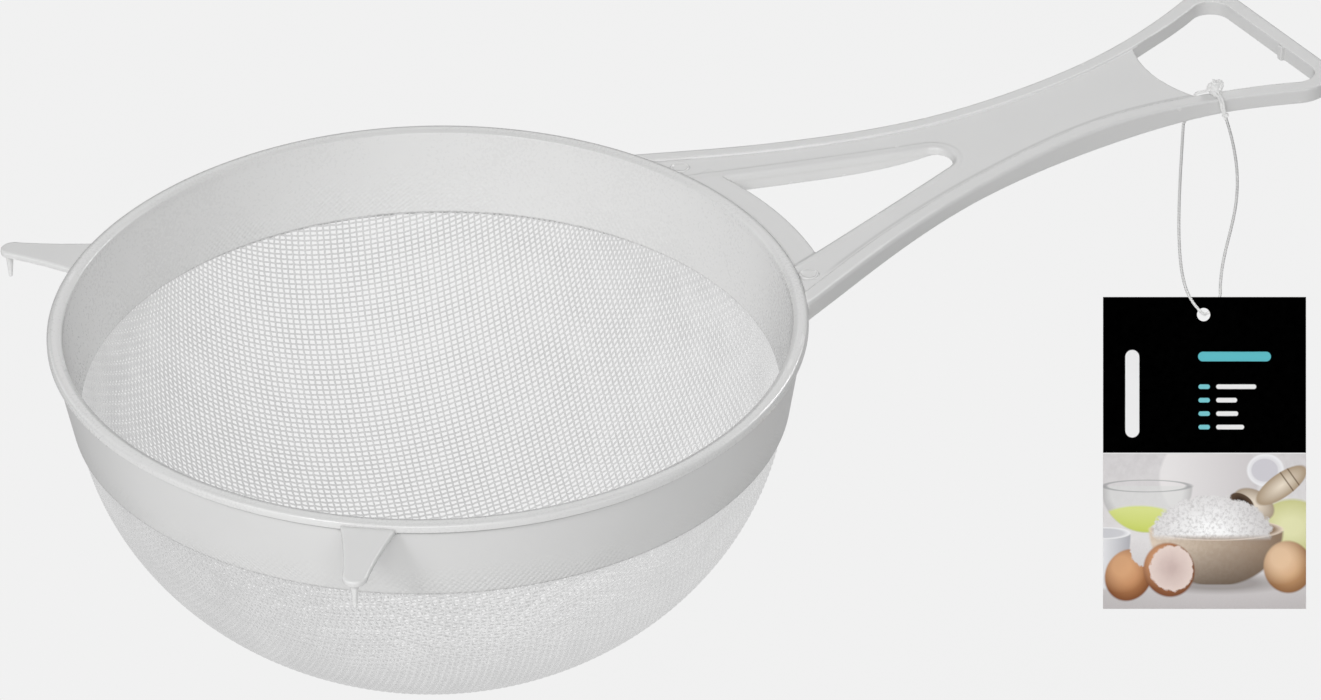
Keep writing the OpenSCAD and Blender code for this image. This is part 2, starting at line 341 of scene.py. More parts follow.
def twisted(path, radius, closed=False):
    """plies laid round a path"""
    path = resample(path, PLY_STEP, closed)
    along = tangents(path, closed)
    across = carried_sides(along)
    other = np.cross(along, across)
    count = len(path)
    turns = count * PLY_STEP / PLY_LAY
    if closed:
        turns = max(1, round(turns)) + closing_angle(along, across) / (2 * math.pi)
    angle = np.arange(count) / (count if closed else count - 1) * turns * 2 * math.pi
    plies = []
    for k in range(PLIES):
        a = (angle + k * 2 * math.pi / PLIES)[:, None]
        ply = path + radius * 0.5 * (np.cos(a) * across + np.sin(a) * other)
        plies.append(tube(ply, radius * 0.56, 8, closed=closed))
    return join_shells(plies)


# --------------------------------------------------------------------------
# materials: node helpers
# --------------------------------------------------------------------------
class Nodes:
    """a new material, with short calls that add its shader nodes"""

    def __init__(self, name):
        self.mat = bpy.data.materials.new(name)
        self.mat.use_nodes = True
        self.tree = self.mat.node_tree
        self.tree.nodes.clear()
        self.out = self.tree.nodes.new("ShaderNodeOutputMaterial")

    def new(self, kind, **props):
        node = self.tree.nodes.new(kind)
        for key, value in props.items():
            setattr(node, key, value)
        return node

    def put(self, socket, value):
        if hasattr(value, "is_output"):
            self.tree.links.new(value, socket)
        else:
            socket.default_value = value

    def math(self, operation, *values):
        node = self.new("ShaderNodeMath", operation=operation)
        for socket, value in zip(node.inputs, values):
            self.put(socket, value)
        return node.outputs[0]

    def times(self, *values):
        return reduce(lambda a, b: self.math("MULTIPLY", a, b), values)

    def plus(self, a, b):
        return self.math("ADD", a, b)

    def minus(self, a, b):
        return self.math("SUBTRACT", a, b)

    def hypot(self, a, b):
        return self.math("SQRT", self.plus(self.times(a, a), self.times(b, b)))

    def noise(self, vector, scale, detail, rough=0.5):
        node = self.new("ShaderNodeTexNoise")
        self.put(node.inputs["Vector"], vector)
        node.inputs["Scale"].default_value = scale
        node.inputs["Detail"].default_value = detail
        node.inputs["Roughness"].default_value = rough
        return node.outputs[0]

    def ramp(self, value, span, to=(0.0, 1.0)):
        """maps a span of a value onto another, clamped"""
        node = self.new("ShaderNodeMapRange", clamp=True)
        for socket, item in zip(node.inputs, (value, *span, *to)):
            self.put(socket, item)
        return node.outputs[0]

    def mix(self, factor, first, last):
        node = self.new("ShaderNodeMix", data_type="RGBA")
        for i, value in ((0, factor), (6, first), (7, last)):
            self.put(node.inputs[i], value)
        return node.outputs[2]

    def fade(self, value, span, first, last, amounts=(0.0, 1.0)):
        """from one colour towards another as a value crosses a span"""
        return self.mix(self.ramp(value, span, amounts), first, last)

    def object_mm(self):
        """position in millimetres"""
        node = self.new("ShaderNodeVectorMath", operation="SCALE")
        self.put(node.inputs[0], self.new("ShaderNodeTexCoord").outputs["Object"])
        node.inputs["Scale"].default_value = 1000.0
        return node.outputs[0]

    def separate(self, vector):
        node = self.new("ShaderNodeSeparateXYZ")
        self.put(node.inputs[0], vector)
        return node.outputs

    def facing(self):
        """0 where the surface faces the eye, 1 where it is edge-on"""
        node = self.new("ShaderNodeLayerWeight")
        node.inputs["Blend"].default_value = 0.5
        return node.outputs["Facing"]

    def attribute(self, name):
        return self.new("ShaderNodeAttribute", attribute_name=name).outputs["Fac"]

    def bump(self, height, strength, distance_mm, normal=None):
        node = self.new("ShaderNodeBump")
        self.put(node.inputs["Height"], height)
        node.inputs["Strength"].default_value = strength
        node.inputs["Distance"].default_value = distance_mm * MM
        if normal is not None:
            self.put(node.inputs["Normal"], normal)
        return node.outputs[0]

    def principled(self, **inputs):
        node = self.new("ShaderNodeBsdfPrincipled")
        for key, value in inputs.items():
            self.put(node.inputs[key.replace("_", " ")], value)
        self.tree.links.new(node.outputs[0], self.out.inputs[0])


def rgb(*channels):
    """8-bit display colour to linear"""
    shares = [c / 255 for c in channels]
    linear = [s / 12.92 if s <= 0.04045 else ((s + 0.055) / 1.055) ** 2.4 for s in shares]
    return (*linear, 1.0)


def grey(value):
    return (value, value, value, 1)


def scaled(colour, factor):
    return (*(c * factor for c in colour[:3]), 1)


WHITE = grey(1.0)


# --------------------------------------------------------------------------
# materials: plastic, nylon and cord
# --------------------------------------------------------------------------
# weave pattern pressed into the plastic: radius, spacing round it and in height, lean
IMPRINT_R, IMPRINT_PITCH, IMPRINT_RISE, IMPRINT_LEAN = 93.0, 1.7, 1.5, 1.1


def moulded_white(name, base, rough, coat_rough, imprint_top, painted_lower_edge_shade_z, handle=False):
    """clouded satin white plastic with the weave showing low down; painted shade in creases, on
    faces turned from the eye and along the lower edge, and painted highlights on sharp edges
    """
    nodes = Nodes(name)
    place = nodes.object_mm()
    x, y, z = nodes.separate(place)
    cloud = nodes.noise(place, scale=0.035, detail=3)
    grain = nodes.noise(place, scale=1.2, detail=3, rough=0.6)
    colour = nodes.fade(cloud, (0.35, 0.68), scaled(base, 0.975), base)
    # painted shade: surfaces turned away from the eye go greyer
    away = nodes.ramp(nodes.facing(), (0.5, 1.0))
    colour = nodes.mix(nodes.times(away, away), colour, scaled(base, 0.42))
    # painted shade in creases and corners, from an occlusion test
    crease = nodes.new("ShaderNodeAmbientOcclusion", samples=6)
    crease.inputs["Distance"].default_value = 0.9 * MM
    colour = nodes.fade(crease.outputs["AO"], (0.3, 0.85), scaled(base, 0.76), colour)
    geometry = nodes.new("ShaderNodeNewGeometry")
    # painted highlight along sharp convex edges
    painted_edge_highlight = nodes.ramp(geometry.outputs["Pointiness"], (0.512, 0.55))
    colour = nodes.mix(nodes.times(painted_edge_highlight, 0.7), colour, (0.97, 0.97, 0.965, 1))
    # painted shade: broken dark line along the lower edge, where the mesh goes under it
    painted_lower_edge_shade = nodes.ramp(z, painted_lower_edge_shade_z, to=(1.0, 0.0))
    dots = nodes.ramp(nodes.noise(place, scale=0.8, detail=1), (0.38, 0.6), to=(0.4, 1.0))
    colour = nodes.mix(nodes.times(painted_lower_edge_shade, dots, 0.5), colour, scaled(base, 0.35))
    if handle:
        colour = handle_shading(nodes, colour, base, geometry, (x, y, z))
    clouded = nodes.ramp(cloud, (0.3, 0.7), to=(-0.02, 0.03))
    roughness = nodes.plus(nodes.ramp(grain, (0.3, 0.7), to=(rough - 0.04, rough + 0.05)), clouded)

    around = nodes.times(nodes.math("ARCTAN2", y, x), IMPRINT_R * 2 * math.pi / IMPRINT_PITCH)
    lean = nodes.times(z, IMPRINT_LEAN)
    rows = nodes.math("SINE", nodes.times(z, 2 * math.pi / IMPRINT_RISE))
    waves = nodes.times(nodes.math("SINE", nodes.plus(around, lean)), rows)
    patches = nodes.ramp(nodes.noise(place, scale=0.028, detail=2), (0.34, 0.55))
    low_down = nodes.times(nodes.ramp(z, (imprint_top, -21.0)), patches)
    normal = nodes.bump(cloud, strength=0.2, distance_mm=0.1)
    normal = nodes.bump(grain, strength=0.06, distance_mm=0.008, normal=normal)
    imprint = nodes.times(waves, low_down)
    normal = nodes.bump(imprint, strength=0.7, distance_mm=0.11, normal=normal)
    nodes.principled(Base_Color=colour, Roughness=roughness, Normal=normal, IOR=1.49,
                     Coat_Weight=0.4, Coat_Roughness=coat_rough)
    return nodes.mat


def handle_shading(nodes, colour, base, geometry, place):
    x, y, z = place
    upright = nodes.ramp(nodes.separate(geometry.outputs["Normal"])[2], (0.25, 0.75), to=(1.0, 0.0))
    # painted shade: upright walls darken towards the handle's end
    far = nodes.times(nodes.ramp(x, (140.0, 225.0)), upright)
    colour = nodes.mix(nodes.times(far, 0.13), colour, grey(0.02))
    # the step between rail and web: shaded on the -Y side, bright on the +Y side
    colour = nodes.mix(nodes.times(nodes.attribute("step_shade"), 0.24), colour, grey(0.1))
    colour = nodes.mix(nodes.times(nodes.attribute("step_glint"), 0.9), colour, WHITE)
    # painted shade: dark line under the ring's bead, all round but for the handle
    under_bead = nodes.ramp(z, (-3.4, -3.1))
    on_band = nodes.ramp(nodes.hypot(x, y), (100.2, 100.4), to=(1.0, 0.0))
    off_handle = nodes.ramp(x, (82.0, 86.0), to=(1.0, 0.0))
    line = nodes.times(nodes.times(under_bead, on_band), nodes.times(upright, off_handle))
    return nodes.mix(nodes.times(line, 0.75), colour, scaled(base, 0.35))


# strength of the threads' painted glow
THREAD_GLOW = 0.39


def nylon_thread(name, base, tint):
    """clear-white thread; its glow is painted light, standing for daylight carried along inside it
    """
    nodes = Nodes(name)
    place = nodes.object_mm()
    cloud = nodes.noise(place, scale=0.11, detail=3)
    grain = nodes.noise(place, scale=2.2, detail=2)
    colour = nodes.fade(cloud, (0.35, 0.65), tint, base)
    colour = nodes.fade(grain, (0.2, 0.8), colour, tint, amounts=(0.0, 0.25))
    # painted light: paler on the bowl's -Y side, a little towards +X
    x, y, z = nodes.separate(place)
    near = nodes.plus(nodes.times(x, 0.378), nodes.times(y, -0.928))
    colour = nodes.mix(nodes.times(nodes.ramp(near, (-10.0, 80.0)), 0.15), colour, WHITE)
    nodes.principled(Base_Color=colour, Roughness=nodes.ramp(grain, (0.3, 0.7), to=(0.24, 0.38)),
                     Normal=nodes.bump(grain, strength=0.2, distance_mm=0.02), IOR=1.50,
                     Emission_Color=WHITE, Emission_Strength=THREAD_GLOW)
    nodes.mat.cycles.emission_sampling = "NONE"
    return nodes.mat


def cord_material(name, thin=False):
    nodes = Nodes(name)
    place = nodes.object_mm()
    fibre = nodes.noise(place, scale=7.0, detail=3, rough=0.7)
    soft = nodes.noise(place, scale=0.6, detail=2)
    colour = nodes.fade(soft, (0.3, 0.7), (0.80, 0.80, 0.795, 1), (0.90, 0.90, 0.89, 1))
    colour = nodes.fade(fibre, (0.2, 0.8), colour, grey(0.70), amounts=(0, 0.25))
    if thin:
        # painted shade: a lone strand is grey along its sides, but white where the card is behind
        # it
        side = nodes.ramp(nodes.facing(), (0.12, 0.55))
        from_hole = nodes.new("ShaderNodeVectorMath", operation="DISTANCE")
        nodes.put(from_hole.inputs[0], place)
        from_hole.inputs[1].default_value = [float(c) for c in HOLE]
        side = nodes.times(side, nodes.ramp(from_hole.outputs["Value"], (4.5, 7.5)))
        colour = nodes.mix(side, colour, grey(0.16))
    # painted light: the cord glows faintly, the lone strand not at all
    nodes.principled(Base_Color=colour, Roughness=nodes.ramp(fibre, (0.3, 0.7), to=(0.5, 0.75)),
                     Normal=nodes.bump(fibre, strength=0.4, distance_mm=0.04), Sheen_Weight=0.15,
                     Emission_Color=WHITE, Emission_Strength=0.0 if thin else 0.08)
    nodes.mat.cycles.emission_sampling = "NONE"
    return nodes.mat


mat_frame = moulded_white("frame_white_plastic", (0.85, 0.85, 0.845, 1), rough=0.34,
                          coat_rough=0.13, imprint_top=-14.0, painted_lower_edge_shade_z=(-24.1, -23.5), handle=True)
mat_ring = moulded_white("ring_white_plastic", (0.87, 0.87, 0.865, 1), rough=0.28,
                         coat_rough=0.10, imprint_top=-6.0, painted_lower_edge_shade_z=(-22.9, -22.4))
mat_warp = nylon_thread("warp_nylon", base=grey(0.31), tint=grey(0.25))
mat_weft = nylon_thread("weft_nylon", base=grey(0.32), tint=grey(0.26))
mat_cord = cord_material("white_cord")

# --------------------------------------------------------------------------
# sizes of the round parts
# --------------------------------------------------------------------------
RIM_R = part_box("rim_ring")[1].x / MM
BOWL_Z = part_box("mesh_bowl")[0].z / MM
END_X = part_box("frame")[1].x / MM
BEAD_W, BEAD_H = 4.0, 2.4
BEAD_GAP = 0.05                     # between the bead and the band below it
BAND_D, LINER_D = 24.3, 23.0        # depths of the lower edges below the rim's top
WALL_LEAN = 4.2                     # how far the band draws in towards its lower edge
BAND_TOP_R = RIM_R - 1.2
BAND_BOT_R = BAND_TOP_R - WALL_LEAN
BAND_WALL = 1.15
WALL_SLOPE = WALL_LEAN / (BAND_D - BEAD_H - BEAD_GAP)


def mesh_radius(depth):
    """radius of the mesh's outer face inside the band"""
    return BAND_BOT_R - BAND_WALL + (BAND_D - depth) * WALL_SLOPE


# the rim is not quite round: its radial offset by angle, as a mean and four harmonics
OFFSET_MEAN = -0.313
OFFSET_WAVES = ((-0.685, 0.375), (-0.411, 0.5), (-0.24, 0.168), (0.013, -0.275))  # cos, sin
offset_angles = np.radians(np.arange(-180, 181, 1.0))
rim_offsets = OFFSET_MEAN
for order, (cosine, sine) in enumerate(OFFSET_WAVES, 1):
    rim_offsets = (rim_offsets + cosine * np.cos(order * offset_angles)
                   + sine * np.sin(order * offset_angles))


def sway(x, y, z):
    """radial offset at a place, full at the rim and fading down the bowl"""
    on_band = 1 + 0.4 * np.minimum(z, 0) / BAND_D
    fade = np.where(z > -BAND_D, on_band, 0.6 * np.hypot(x, y) / BAND_BOT_R)
    return np.interp(np.arctan2(y, x), offset_angles, rim_offsets) * fade


def settle(points):
    """moves points of the round design out to the slightly uneven line"""
    points = np.array(points, float)
    x, y, z = points.T
    radius = np.hypot(x, y)
    stretch = 1 + sway(x, y, z) / np.maximum(radius, 1e-6) * (radius > 1)
    points[:, :2] *= stretch[:, None]
    return points


# --------------------------------------------------------------------------
# rim ring: rounded bead and tapering liner
# --------------------------------------------------------------------------
def build_ring():
    liner_top, liner_bottom = mesh_radius(BEAD_H) - 0.4, mesh_radius(LINER_D) - 0.4
    # radius, z, corner radius
    outline = [
        (liner_bottom - 1.25, -LINER_D, 0.35), (liner_bottom, -LINER_D, 0.15),
        (liner_top, -BEAD_H, 0.2), (RIM_R, -BEAD_H, 0.4), (RIM_R, -0.25, 1.0),
        (RIM_R - 1.4, 0.0, 2.5), (RIM_R - 2.6, 0.0, 2.5),
        (RIM_R - BEAD_W, -0.5, 0.5), (RIM_R - BEAD_W - 0.15, -2.6, 3.0),
    ]
    points, quads = revolve(densify(fillet(outline, steps=8), step=1.5))
    ring = mesh_object("rim_ring_shell", settle(points), quads, mat_ring, sharp_deg=50)
    register(ring, "sieve", "rim_ring")


build_ring()


# --------------------------------------------------------------------------
# outer moulding: outlines of the forked handle
# --------------------------------------------------------------------------
def hermite(x, x0, value0, slope0, x1, value1, slope1):
    h = x1 - x0
    t = (x - x0) / h
    return ((2 * t**3 - 3 * t**2 + 1) * value0 + (t**3 - 2 * t**2 + t) * h * slope0
            + (3 * t**2 - 2 * t**3) * value1 + (t**3 - t**2) * h * slope1)


def curve(x, knots, slope_before, slope_after=None):
    """smooth curve through (x, value, slope) knots, straight before the first knot

    After the last knot it runs straight if a slope is given, else the last piece goes on."""
    result = knots[0][1] + slope_before * (x - knots[0][0])
    for start, end in zip(knots, knots[1:]):
        result = np.where(x < start[0], result, hermite(x, *start, *end))
    if slope_after is not None:
        last_x, last_value, _ = knots[-1]
        result = np.where(x < last_x, result, last_value + slope_after * (x - last_x))
    return result


# hang loop: outer corner arcs, and inner ones on the same centres
RAIL_W, END_BAR = 4.3, 4.6
CORNER_R, CORNER_Y, FLARE = 10.1, 20.0, math.radians(24)
CORNER_X = END_X - CORNER_R
INNER_R, INNER_FLARE = CORNER_R - END_BAR, math.radians(25)
LOOP_START = 231.0      # where the loop's opening leaves the rail's line


def flare_knot(radius, angle):
    """x, half width and slope where a side meets its corner arc"""
    return (CORNER_X - radius * math.sin(angle), CORNER_Y + radius * math.cos(angle),
            math.tan(angle))


STATIONS = np.arange(70.0, 280.0, 0.05)
OUTER_HALF = curve(
    STATIONS, [(105, 38.2, -0.44), (197.5, 15.4, 0), flare_knot(CORNER_R, FLARE)], -0.44)
OUTER_SLOPE = np.gradient(OUTER_HALF, STATIONS)
rail_inner = OUTER_HALF - RAIL_W * np.sqrt(1 + OUTER_SLOPE**2)
loop_start_half = float(np.interp(LOOP_START, STATIONS, rail_inner))
INNER_HALF = np.where(
    STATIONS < LOOP_START, rail_inner,
    hermite(STATIONS, LOOP_START, loop_start_half, 0.28, *flare_knot(INNER_R, INNER_FLARE)))
INNER_SLOPE = np.gradient(INNER_HALF, STATIONS)
TOP_Z = curve(
    STATIONS, [(100, -0.35, 0.005), (160, 0.7, 0.035), (200, 3.2, 0.055), (228, 4.1, 0.025)],
    0, 0.022)
BOTTOM_Z = curve(
    STATIONS, [(100, -5.9, 0), (160, -4.2, 0.012), (200, -3.3, 0.05), (240, -0.1, 0.045)],
    0, 0.024)


def outline_distance(x, y, half_widths, slopes, radius, angle, end):
    """distance to a mirrored outline: a side curve, a corner arc and a straight end"""
    across = np.abs(y)
    half, slope = np.interp(x, STATIONS, half_widths), np.interp(x, STATIONS, slopes)
    side = (across - half) / np.sqrt(1 + slope * slope)
    dx, dy = x - CORNER_X, across - CORNER_Y
    in_arc = (dy > 0) & (dx * math.cos(angle) + dy * math.sin(angle) > 0)
    straight = np.where(dy <= 0, np.maximum(x - end, side), side)
    return np.where(in_arc, np.hypot(dx, dy) - radius, straight)


def outer_distance(x, y):
    return outline_distance(x, y, OUTER_HALF, OUTER_SLOPE, CORNER_R, FLARE, END_X)


def inner_distance(x, y):
    return outline_distance(x, y, INNER_HALF, INNER_SLOPE, INNER_R, INNER_FLARE,
                            END_X - END_BAR)


CROTCH_X, CROTCH_R, FORK_ANGLE = 160.9, 6.0, math.atan(0.33)


def window_distance(x, y):
    """the opening between the fork's arms, with a round crotch"""
    c, s = math.cos(FORK_ANGLE), math.sin(FORK_ANGLE)
    dx, dy = x - (CROTCH_X - CROTCH_R), np.abs(y)
    line = dx * s + dy * c - CROTCH_R
    return np.where(dx * c - dy * s > 0, np.hypot(dx, dy) - CROTCH_R, line)


# --------------------------------------------------------------------------
# outer moulding: solids
# --------------------------------------------------------------------------
# radius of the rails' top outer edge: stations along x, and its value there
SHOULDER = ([100, 165, 205, 240, 270], [1.1, 1.1, 0.95, 0.7, 0.6])
WEB_DROP, WEB_T, WEB_INSET, WEB_LIMIT_X = 0.6, 2.2, 1.0, 236
WEB_EDGE = 1.5                          # rounding of the web's top along the fork opening
HOLLOW_X, HOLLOW_R = 266.8, 39.0        # circle that hollows the web's end edge
SKIRT_X, SKIRT_W, SKIRT_EXTRA = 115, 2.0, 3.5
GATE_X, GATE_Y, GATE_HALF = 265.4, -6.6, 0.95


def handle_distance(x, y, z):
    top, bottom = np.interp(x, STATIONS, TOP_Z), np.interp(x, STATIONS, BOTTOM_Z)
    outer, inner, window = outer_distance(x, y), inner_distance(x, y), window_distance(x, y)
    above, below = z - top, bottom - z
    # rails and end bar: broad outer shoulder, tight inner edge
    rail = inside_all(
        intersect(outer, above, radius=np.interp(x, *SHOULDER)),
        intersect(-inner, above, radius=0.28),
        intersect(outer, below, radius=0.6), intersect(-inner, below, radius=0.5))
    # web between the rails
    web_top = top - WEB_DROP
    above_web = z - web_top
    edge = intersect(-window, above_web, radius=WEB_EDGE)
    hollow = np.hypot(x - HOLLOW_X, y) - HOLLOW_R
    web = inside_all(outer + WEB_INSET, edge, web_top - WEB_T - z,
                     intersect(-hollow, above_web, radius=0.35), x - WEB_LIMIT_X)
    # skirt below the fork's inner edges, shallower towards the crotch
    t = np.clip((x - SKIRT_X) / (CROTCH_X - SKIRT_X), 0, 1)
    depth = WEB_T + SKIRT_EXTRA * (1 - t**4)
    skirt = inside_all(edge, window - SKIRT_W, outer + WEB_INSET,
                       intersect(-window, web_top - depth - z, radius=0.5))
    # small gate stub on the end bar's inner face, its top sloping down towards the opening
    slope_up = z - top + 0.25 - 0.45 * (GATE_X - x)
    stub = inside_all(np.abs(x - GATE_X) - GATE_HALF, np.abs(y - GATE_Y) - GATE_HALF,
                      slope_up, bottom + 0.1 - z)
    body = unite(unite(web, rail, radius=0.22), skirt, radius=0.6)
    return unite(body, stub, radius=0.25)


CRESCENT_R, CRESCENT_TOP, CRESCENT_BOTTOM = 106.1, -1.1, -3.3
CRESCENT_HALF = ([60, 110], [17.4, 30.0])       # x, half width


def crescent_distance(x, y, z):
    """flat crescent between the fork's arms, against the band"""
    outside = np.hypot(x, y) - CRESCENT_R
    return inside_all(
        intersect(outside, z - CRESCENT_TOP, radius=0.7),
        intersect(outside, CRESCENT_BOTTOM - z, radius=0.4),
        np.abs(y) - np.interp(x, *CRESCENT_HALF), 90 - x)


MARK_X, MARK_Y, MARK_R, MARK_TOP = 95.6, 32.8, 2.7, -0.78


def marks_distance(x, y, z):
    """two small discs with raised rims where the fork's arms start"""
    radius = np.hypot(x - MARK_X, np.abs(y) - MARK_Y)
    disc = np.maximum(intersect(radius - MARK_R, z - MARK_TOP, radius=0.12), -3 - z)
    return np.minimum(disc, np.hypot(radius - 2.3, z - MARK_TOP) - 0.32)


def band_face(z):
    return BAND_TOP_R + (z + BEAD_H) * WALL_SLOPE


def grow_from_band(body, own, reach, x, y, z):
    """fillets a body onto the band, no further than reach from its own shape

    Leaves the room that the rim ring, the mesh and the open bowl take."""
    radius = np.hypot(x, y) - sway(x, y, z)
    outside = (radius - band_face(z)) / math.sqrt(1 + WALL_SLOPE**2)
    band = inside_all(outside, z + BEAD_H + 0.06, -BAND_D + 2 - z)
    full = np.maximum(unite(body, band, radius=1.6) + 0.02, own - reach)
    rise = np.clip(z + 1.09, 0, 0.999)
    bead = RIM_R - 1.06 + np.sqrt(1 - rise**2)
    return inside_all(
        full, np.minimum(bead - radius, z + BEAD_H + 0.02),
        np.minimum(RIM_R + 0.2 - radius, z + 0.4),
        (BAND_TOP_R - 0.7 + (z + BEAD_H) * WALL_SLOPE) - radius)


def fork_distance(x, y, z):
    handle, crescent = handle_distance(x, y, z), crescent_distance(x, y, z)
    body = unite(unite(handle, crescent, radius=0.5), marks_distance(x, y, z), radius=0.12)
    return grow_from_band(body, np.minimum(handle, crescent), 1.2, x, y, z)


def polygon_distance(px, py, corners):
    squared = np.full(px.shape, 1e9)
    sign = np.ones(px.shape)
    for i, (bx, by) in enumerate(corners):
        ax, ay = corners[i - 1]
        ex, ey = bx - ax, by - ay
        dx, dy = px - ax, py - ay
        t = np.clip((dx * ex + dy * ey) / (ex * ex + ey * ey), 0, 1)
        squared = np.minimum(squared, (dx - ex * t) ** 2 + (dy - ey * t) ** 2)
        from_a, to_b, left = py >= ay, py < by, ex * dy > ey * dx
        sign = np.where((from_a & to_b & left) | (~from_a & ~to_b & ~left), -sign, sign)
    return sign * np.sqrt(squared)


# rests: tapering tongues, each with a peg under its tip
REST_ANGLE = math.radians(180 - 51.2)       # from +X, to either side
REST_SLOPE, REST_T, REST_TOP = math.radians(3.7), 1.8, -1.1
TIP_R, TIP_W, ROOT_W = 123.0, 6.4, 14.1
PEG_X, PEG_BOTTOM, PEG_TOP = TIP_R - 2.3, -11.5, -4.0


def rest_outline():
    tip_x = TIP_R - TIP_W / 2
    side = []
    for t in np.linspace(0, 1, 12):
        x = RIM_R + (tip_x - RIM_R) * t
        side.append((x, hermite(x, RIM_R, ROOT_W / 2, -0.27, tip_x, TIP_W / 2, -0.10)))
    tip = [(tip_x + TIP_W / 2 * math.cos(a), TIP_W / 2 * math.sin(a))
           for a in np.linspace(math.pi / 2 - 0.1, -math.pi / 2 + 0.1, 24)]
    root_x, root_y = RIM_R - 5, ROOT_W / 2 + 1.2
    return [(root_x, root_y), *side, *tip, *((x, -y) for x, y in side[::-1]), (root_x, -root_y)]


REST_OUTLINE = rest_outline()


def rest_distance(turn):
    """distance to a rest that points along +X until it is turned about Z"""
    turn_cos, turn_sin = math.cos(turn), math.sin(turn)
    slope_cos, slope_sin = math.cos(REST_SLOPE), math.sin(REST_SLOPE)

    def distance(x, y, z):
        dx, dz = x - RIM_R, z - REST_TOP
        along = RIM_R + dx * slope_cos - dz * slope_sin
        height = dx * slope_sin + dz * slope_cos
        plan = polygon_distance(along, y, REST_OUTLINE)
        tongue = np.maximum(intersect(plan, height, radius=0.55),
                            intersect(plan, -REST_T - height, radius=0.4))
        peg_r = np.interp(z, [PEG_BOTTOM, PEG_TOP], [0.5, 1.15])
        peg = intersect(np.hypot(x - PEG_X, y) - peg_r, PEG_BOTTOM - z, radius=0.35)
        peg = np.maximum(peg, z - PEG_TOP)
        return grow_from_band(unite(tongue, peg, radius=0.5), np.minimum(tongue, peg), 1.3,
                              turn_cos * x - turn_sin * y, turn_sin * x + turn_cos * y, z)

    return distance


def band_shell():
    # radius, z, corner radius
    outline = [
        (mesh_radius(BAND_D) + 0.05, -BAND_D, 0.3), (BAND_BOT_R, -BAND_D, 0.45),
        (BAND_TOP_R, -BEAD_H - BEAD_GAP, 0.1),
        (mesh_radius(BEAD_H + BEAD_GAP) + 0.05, -BEAD_H - BEAD_GAP, 0.1),
    ]
    points, quads = revolve(densify(fillet(outline, steps=6), step=1.6))
    return settle(points), quads


def add_step_attributes(ob):
    """marks the step between rail and web for the material"""
    flat = np.empty(len(ob.data.vertices) * 3)
    ob.data.vertices.foreach_get("co", flat)
    x, y, z = (flat.reshape(-1, 3) / MM).T
    web_z, inward = np.interp(x, STATIONS, TOP_Z) - WEB_DROP, -inner_distance(x, y)
    span = np.interp(x, [98, 106, 232, 236], [0, 1, 1, 0])
    near_web = np.interp(np.abs(z - web_z), [0.12, 0.3], [1, 0])
    shade = np.interp(inward, [0.75, 1.0, 1.4, 2.0], [0, 1, 1, 0]) * near_web * (y < 0) * span
    glint = np.interp(np.abs(inward), [0.2, 0.5], [1, 0]) * (z > web_z - 0.05) * (y > 0) * span
    for name, values in (("step_shade", shade), ("step_glint", glint)):
        layer = ob.data.attributes.new(name, "FLOAT", "POINT")
        layer.data.foreach_set("value", values.astype(np.float32))


def build_frame():
    spacing = 0.36
    fork_spacing = spacing
    shells = [band_shell()]
    shells.append(surface_nets(fork_distance, (86, -46, -8.5), (END_X + 1.2, 46, 6.8),
                               fork_spacing))
    for turn in (REST_ANGLE, -REST_ANGLE):
        points, quads = surface_nets(rest_distance(turn), (96.5, -9.5, -12.4),
                                     (TIP_R + 1, 9.5, 0.2), spacing)
        shells.append((points @ turn_z(turn).T, quads))
    frame = mesh_object("frame_moulding", *join_shells(shells), mat_frame, sharp_deg=48)
    add_step_attributes(frame)
    register(frame, "sieve", "frame")


build_frame()


# --------------------------------------------------------------------------
# woven bowl: a flat plain weave draped over an ellipsoid, thread by thread
# --------------------------------------------------------------------------
BELLY = -16.4                       # height of the ellipsoid's centre
MID_INSET = 0.40                    # from the outer face to the middle of the weave
bowl_share = (BAND_D + BELLY) / (-BOWL_Z + BELLY)
NET_A = mesh_radius(BAND_D) / math.sqrt(1 - bowl_share**2) - MID_INSET
NET_B = -BOWL_Z + BELLY - MID_INSET
PITCH_A, PITCH_B, WEAVE_TURN = 1.86, 1.39, math.radians(-16.5)
NET_REACH = 140                     # longest run from the middle that is laid out
TRIM_Z = -21.6
WARP_R, WEFT_R, WEAVE_RISE = 0.266, 0.256, 0.22
WOBBLE, WOBBLE_STOPS = 0.035, 12


def meridian(pitch, count):
    """(radius, z) of evenly spaced nodes from the lowest point up"""
    nodes, t = [(0.0, BELLY - NET_B)], 0.0
    for _ in range(count):
        middle = t + 0.5 * pitch / math.hypot(NET_A * math.cos(t), NET_B * math.sin(t))
        t += pitch / math.hypot(NET_A * math.cos(middle), NET_B * math.sin(middle))
        nodes.append((NET_A * math.sin(t), BELLY - NET_B * math.cos(t)))
    return nodes


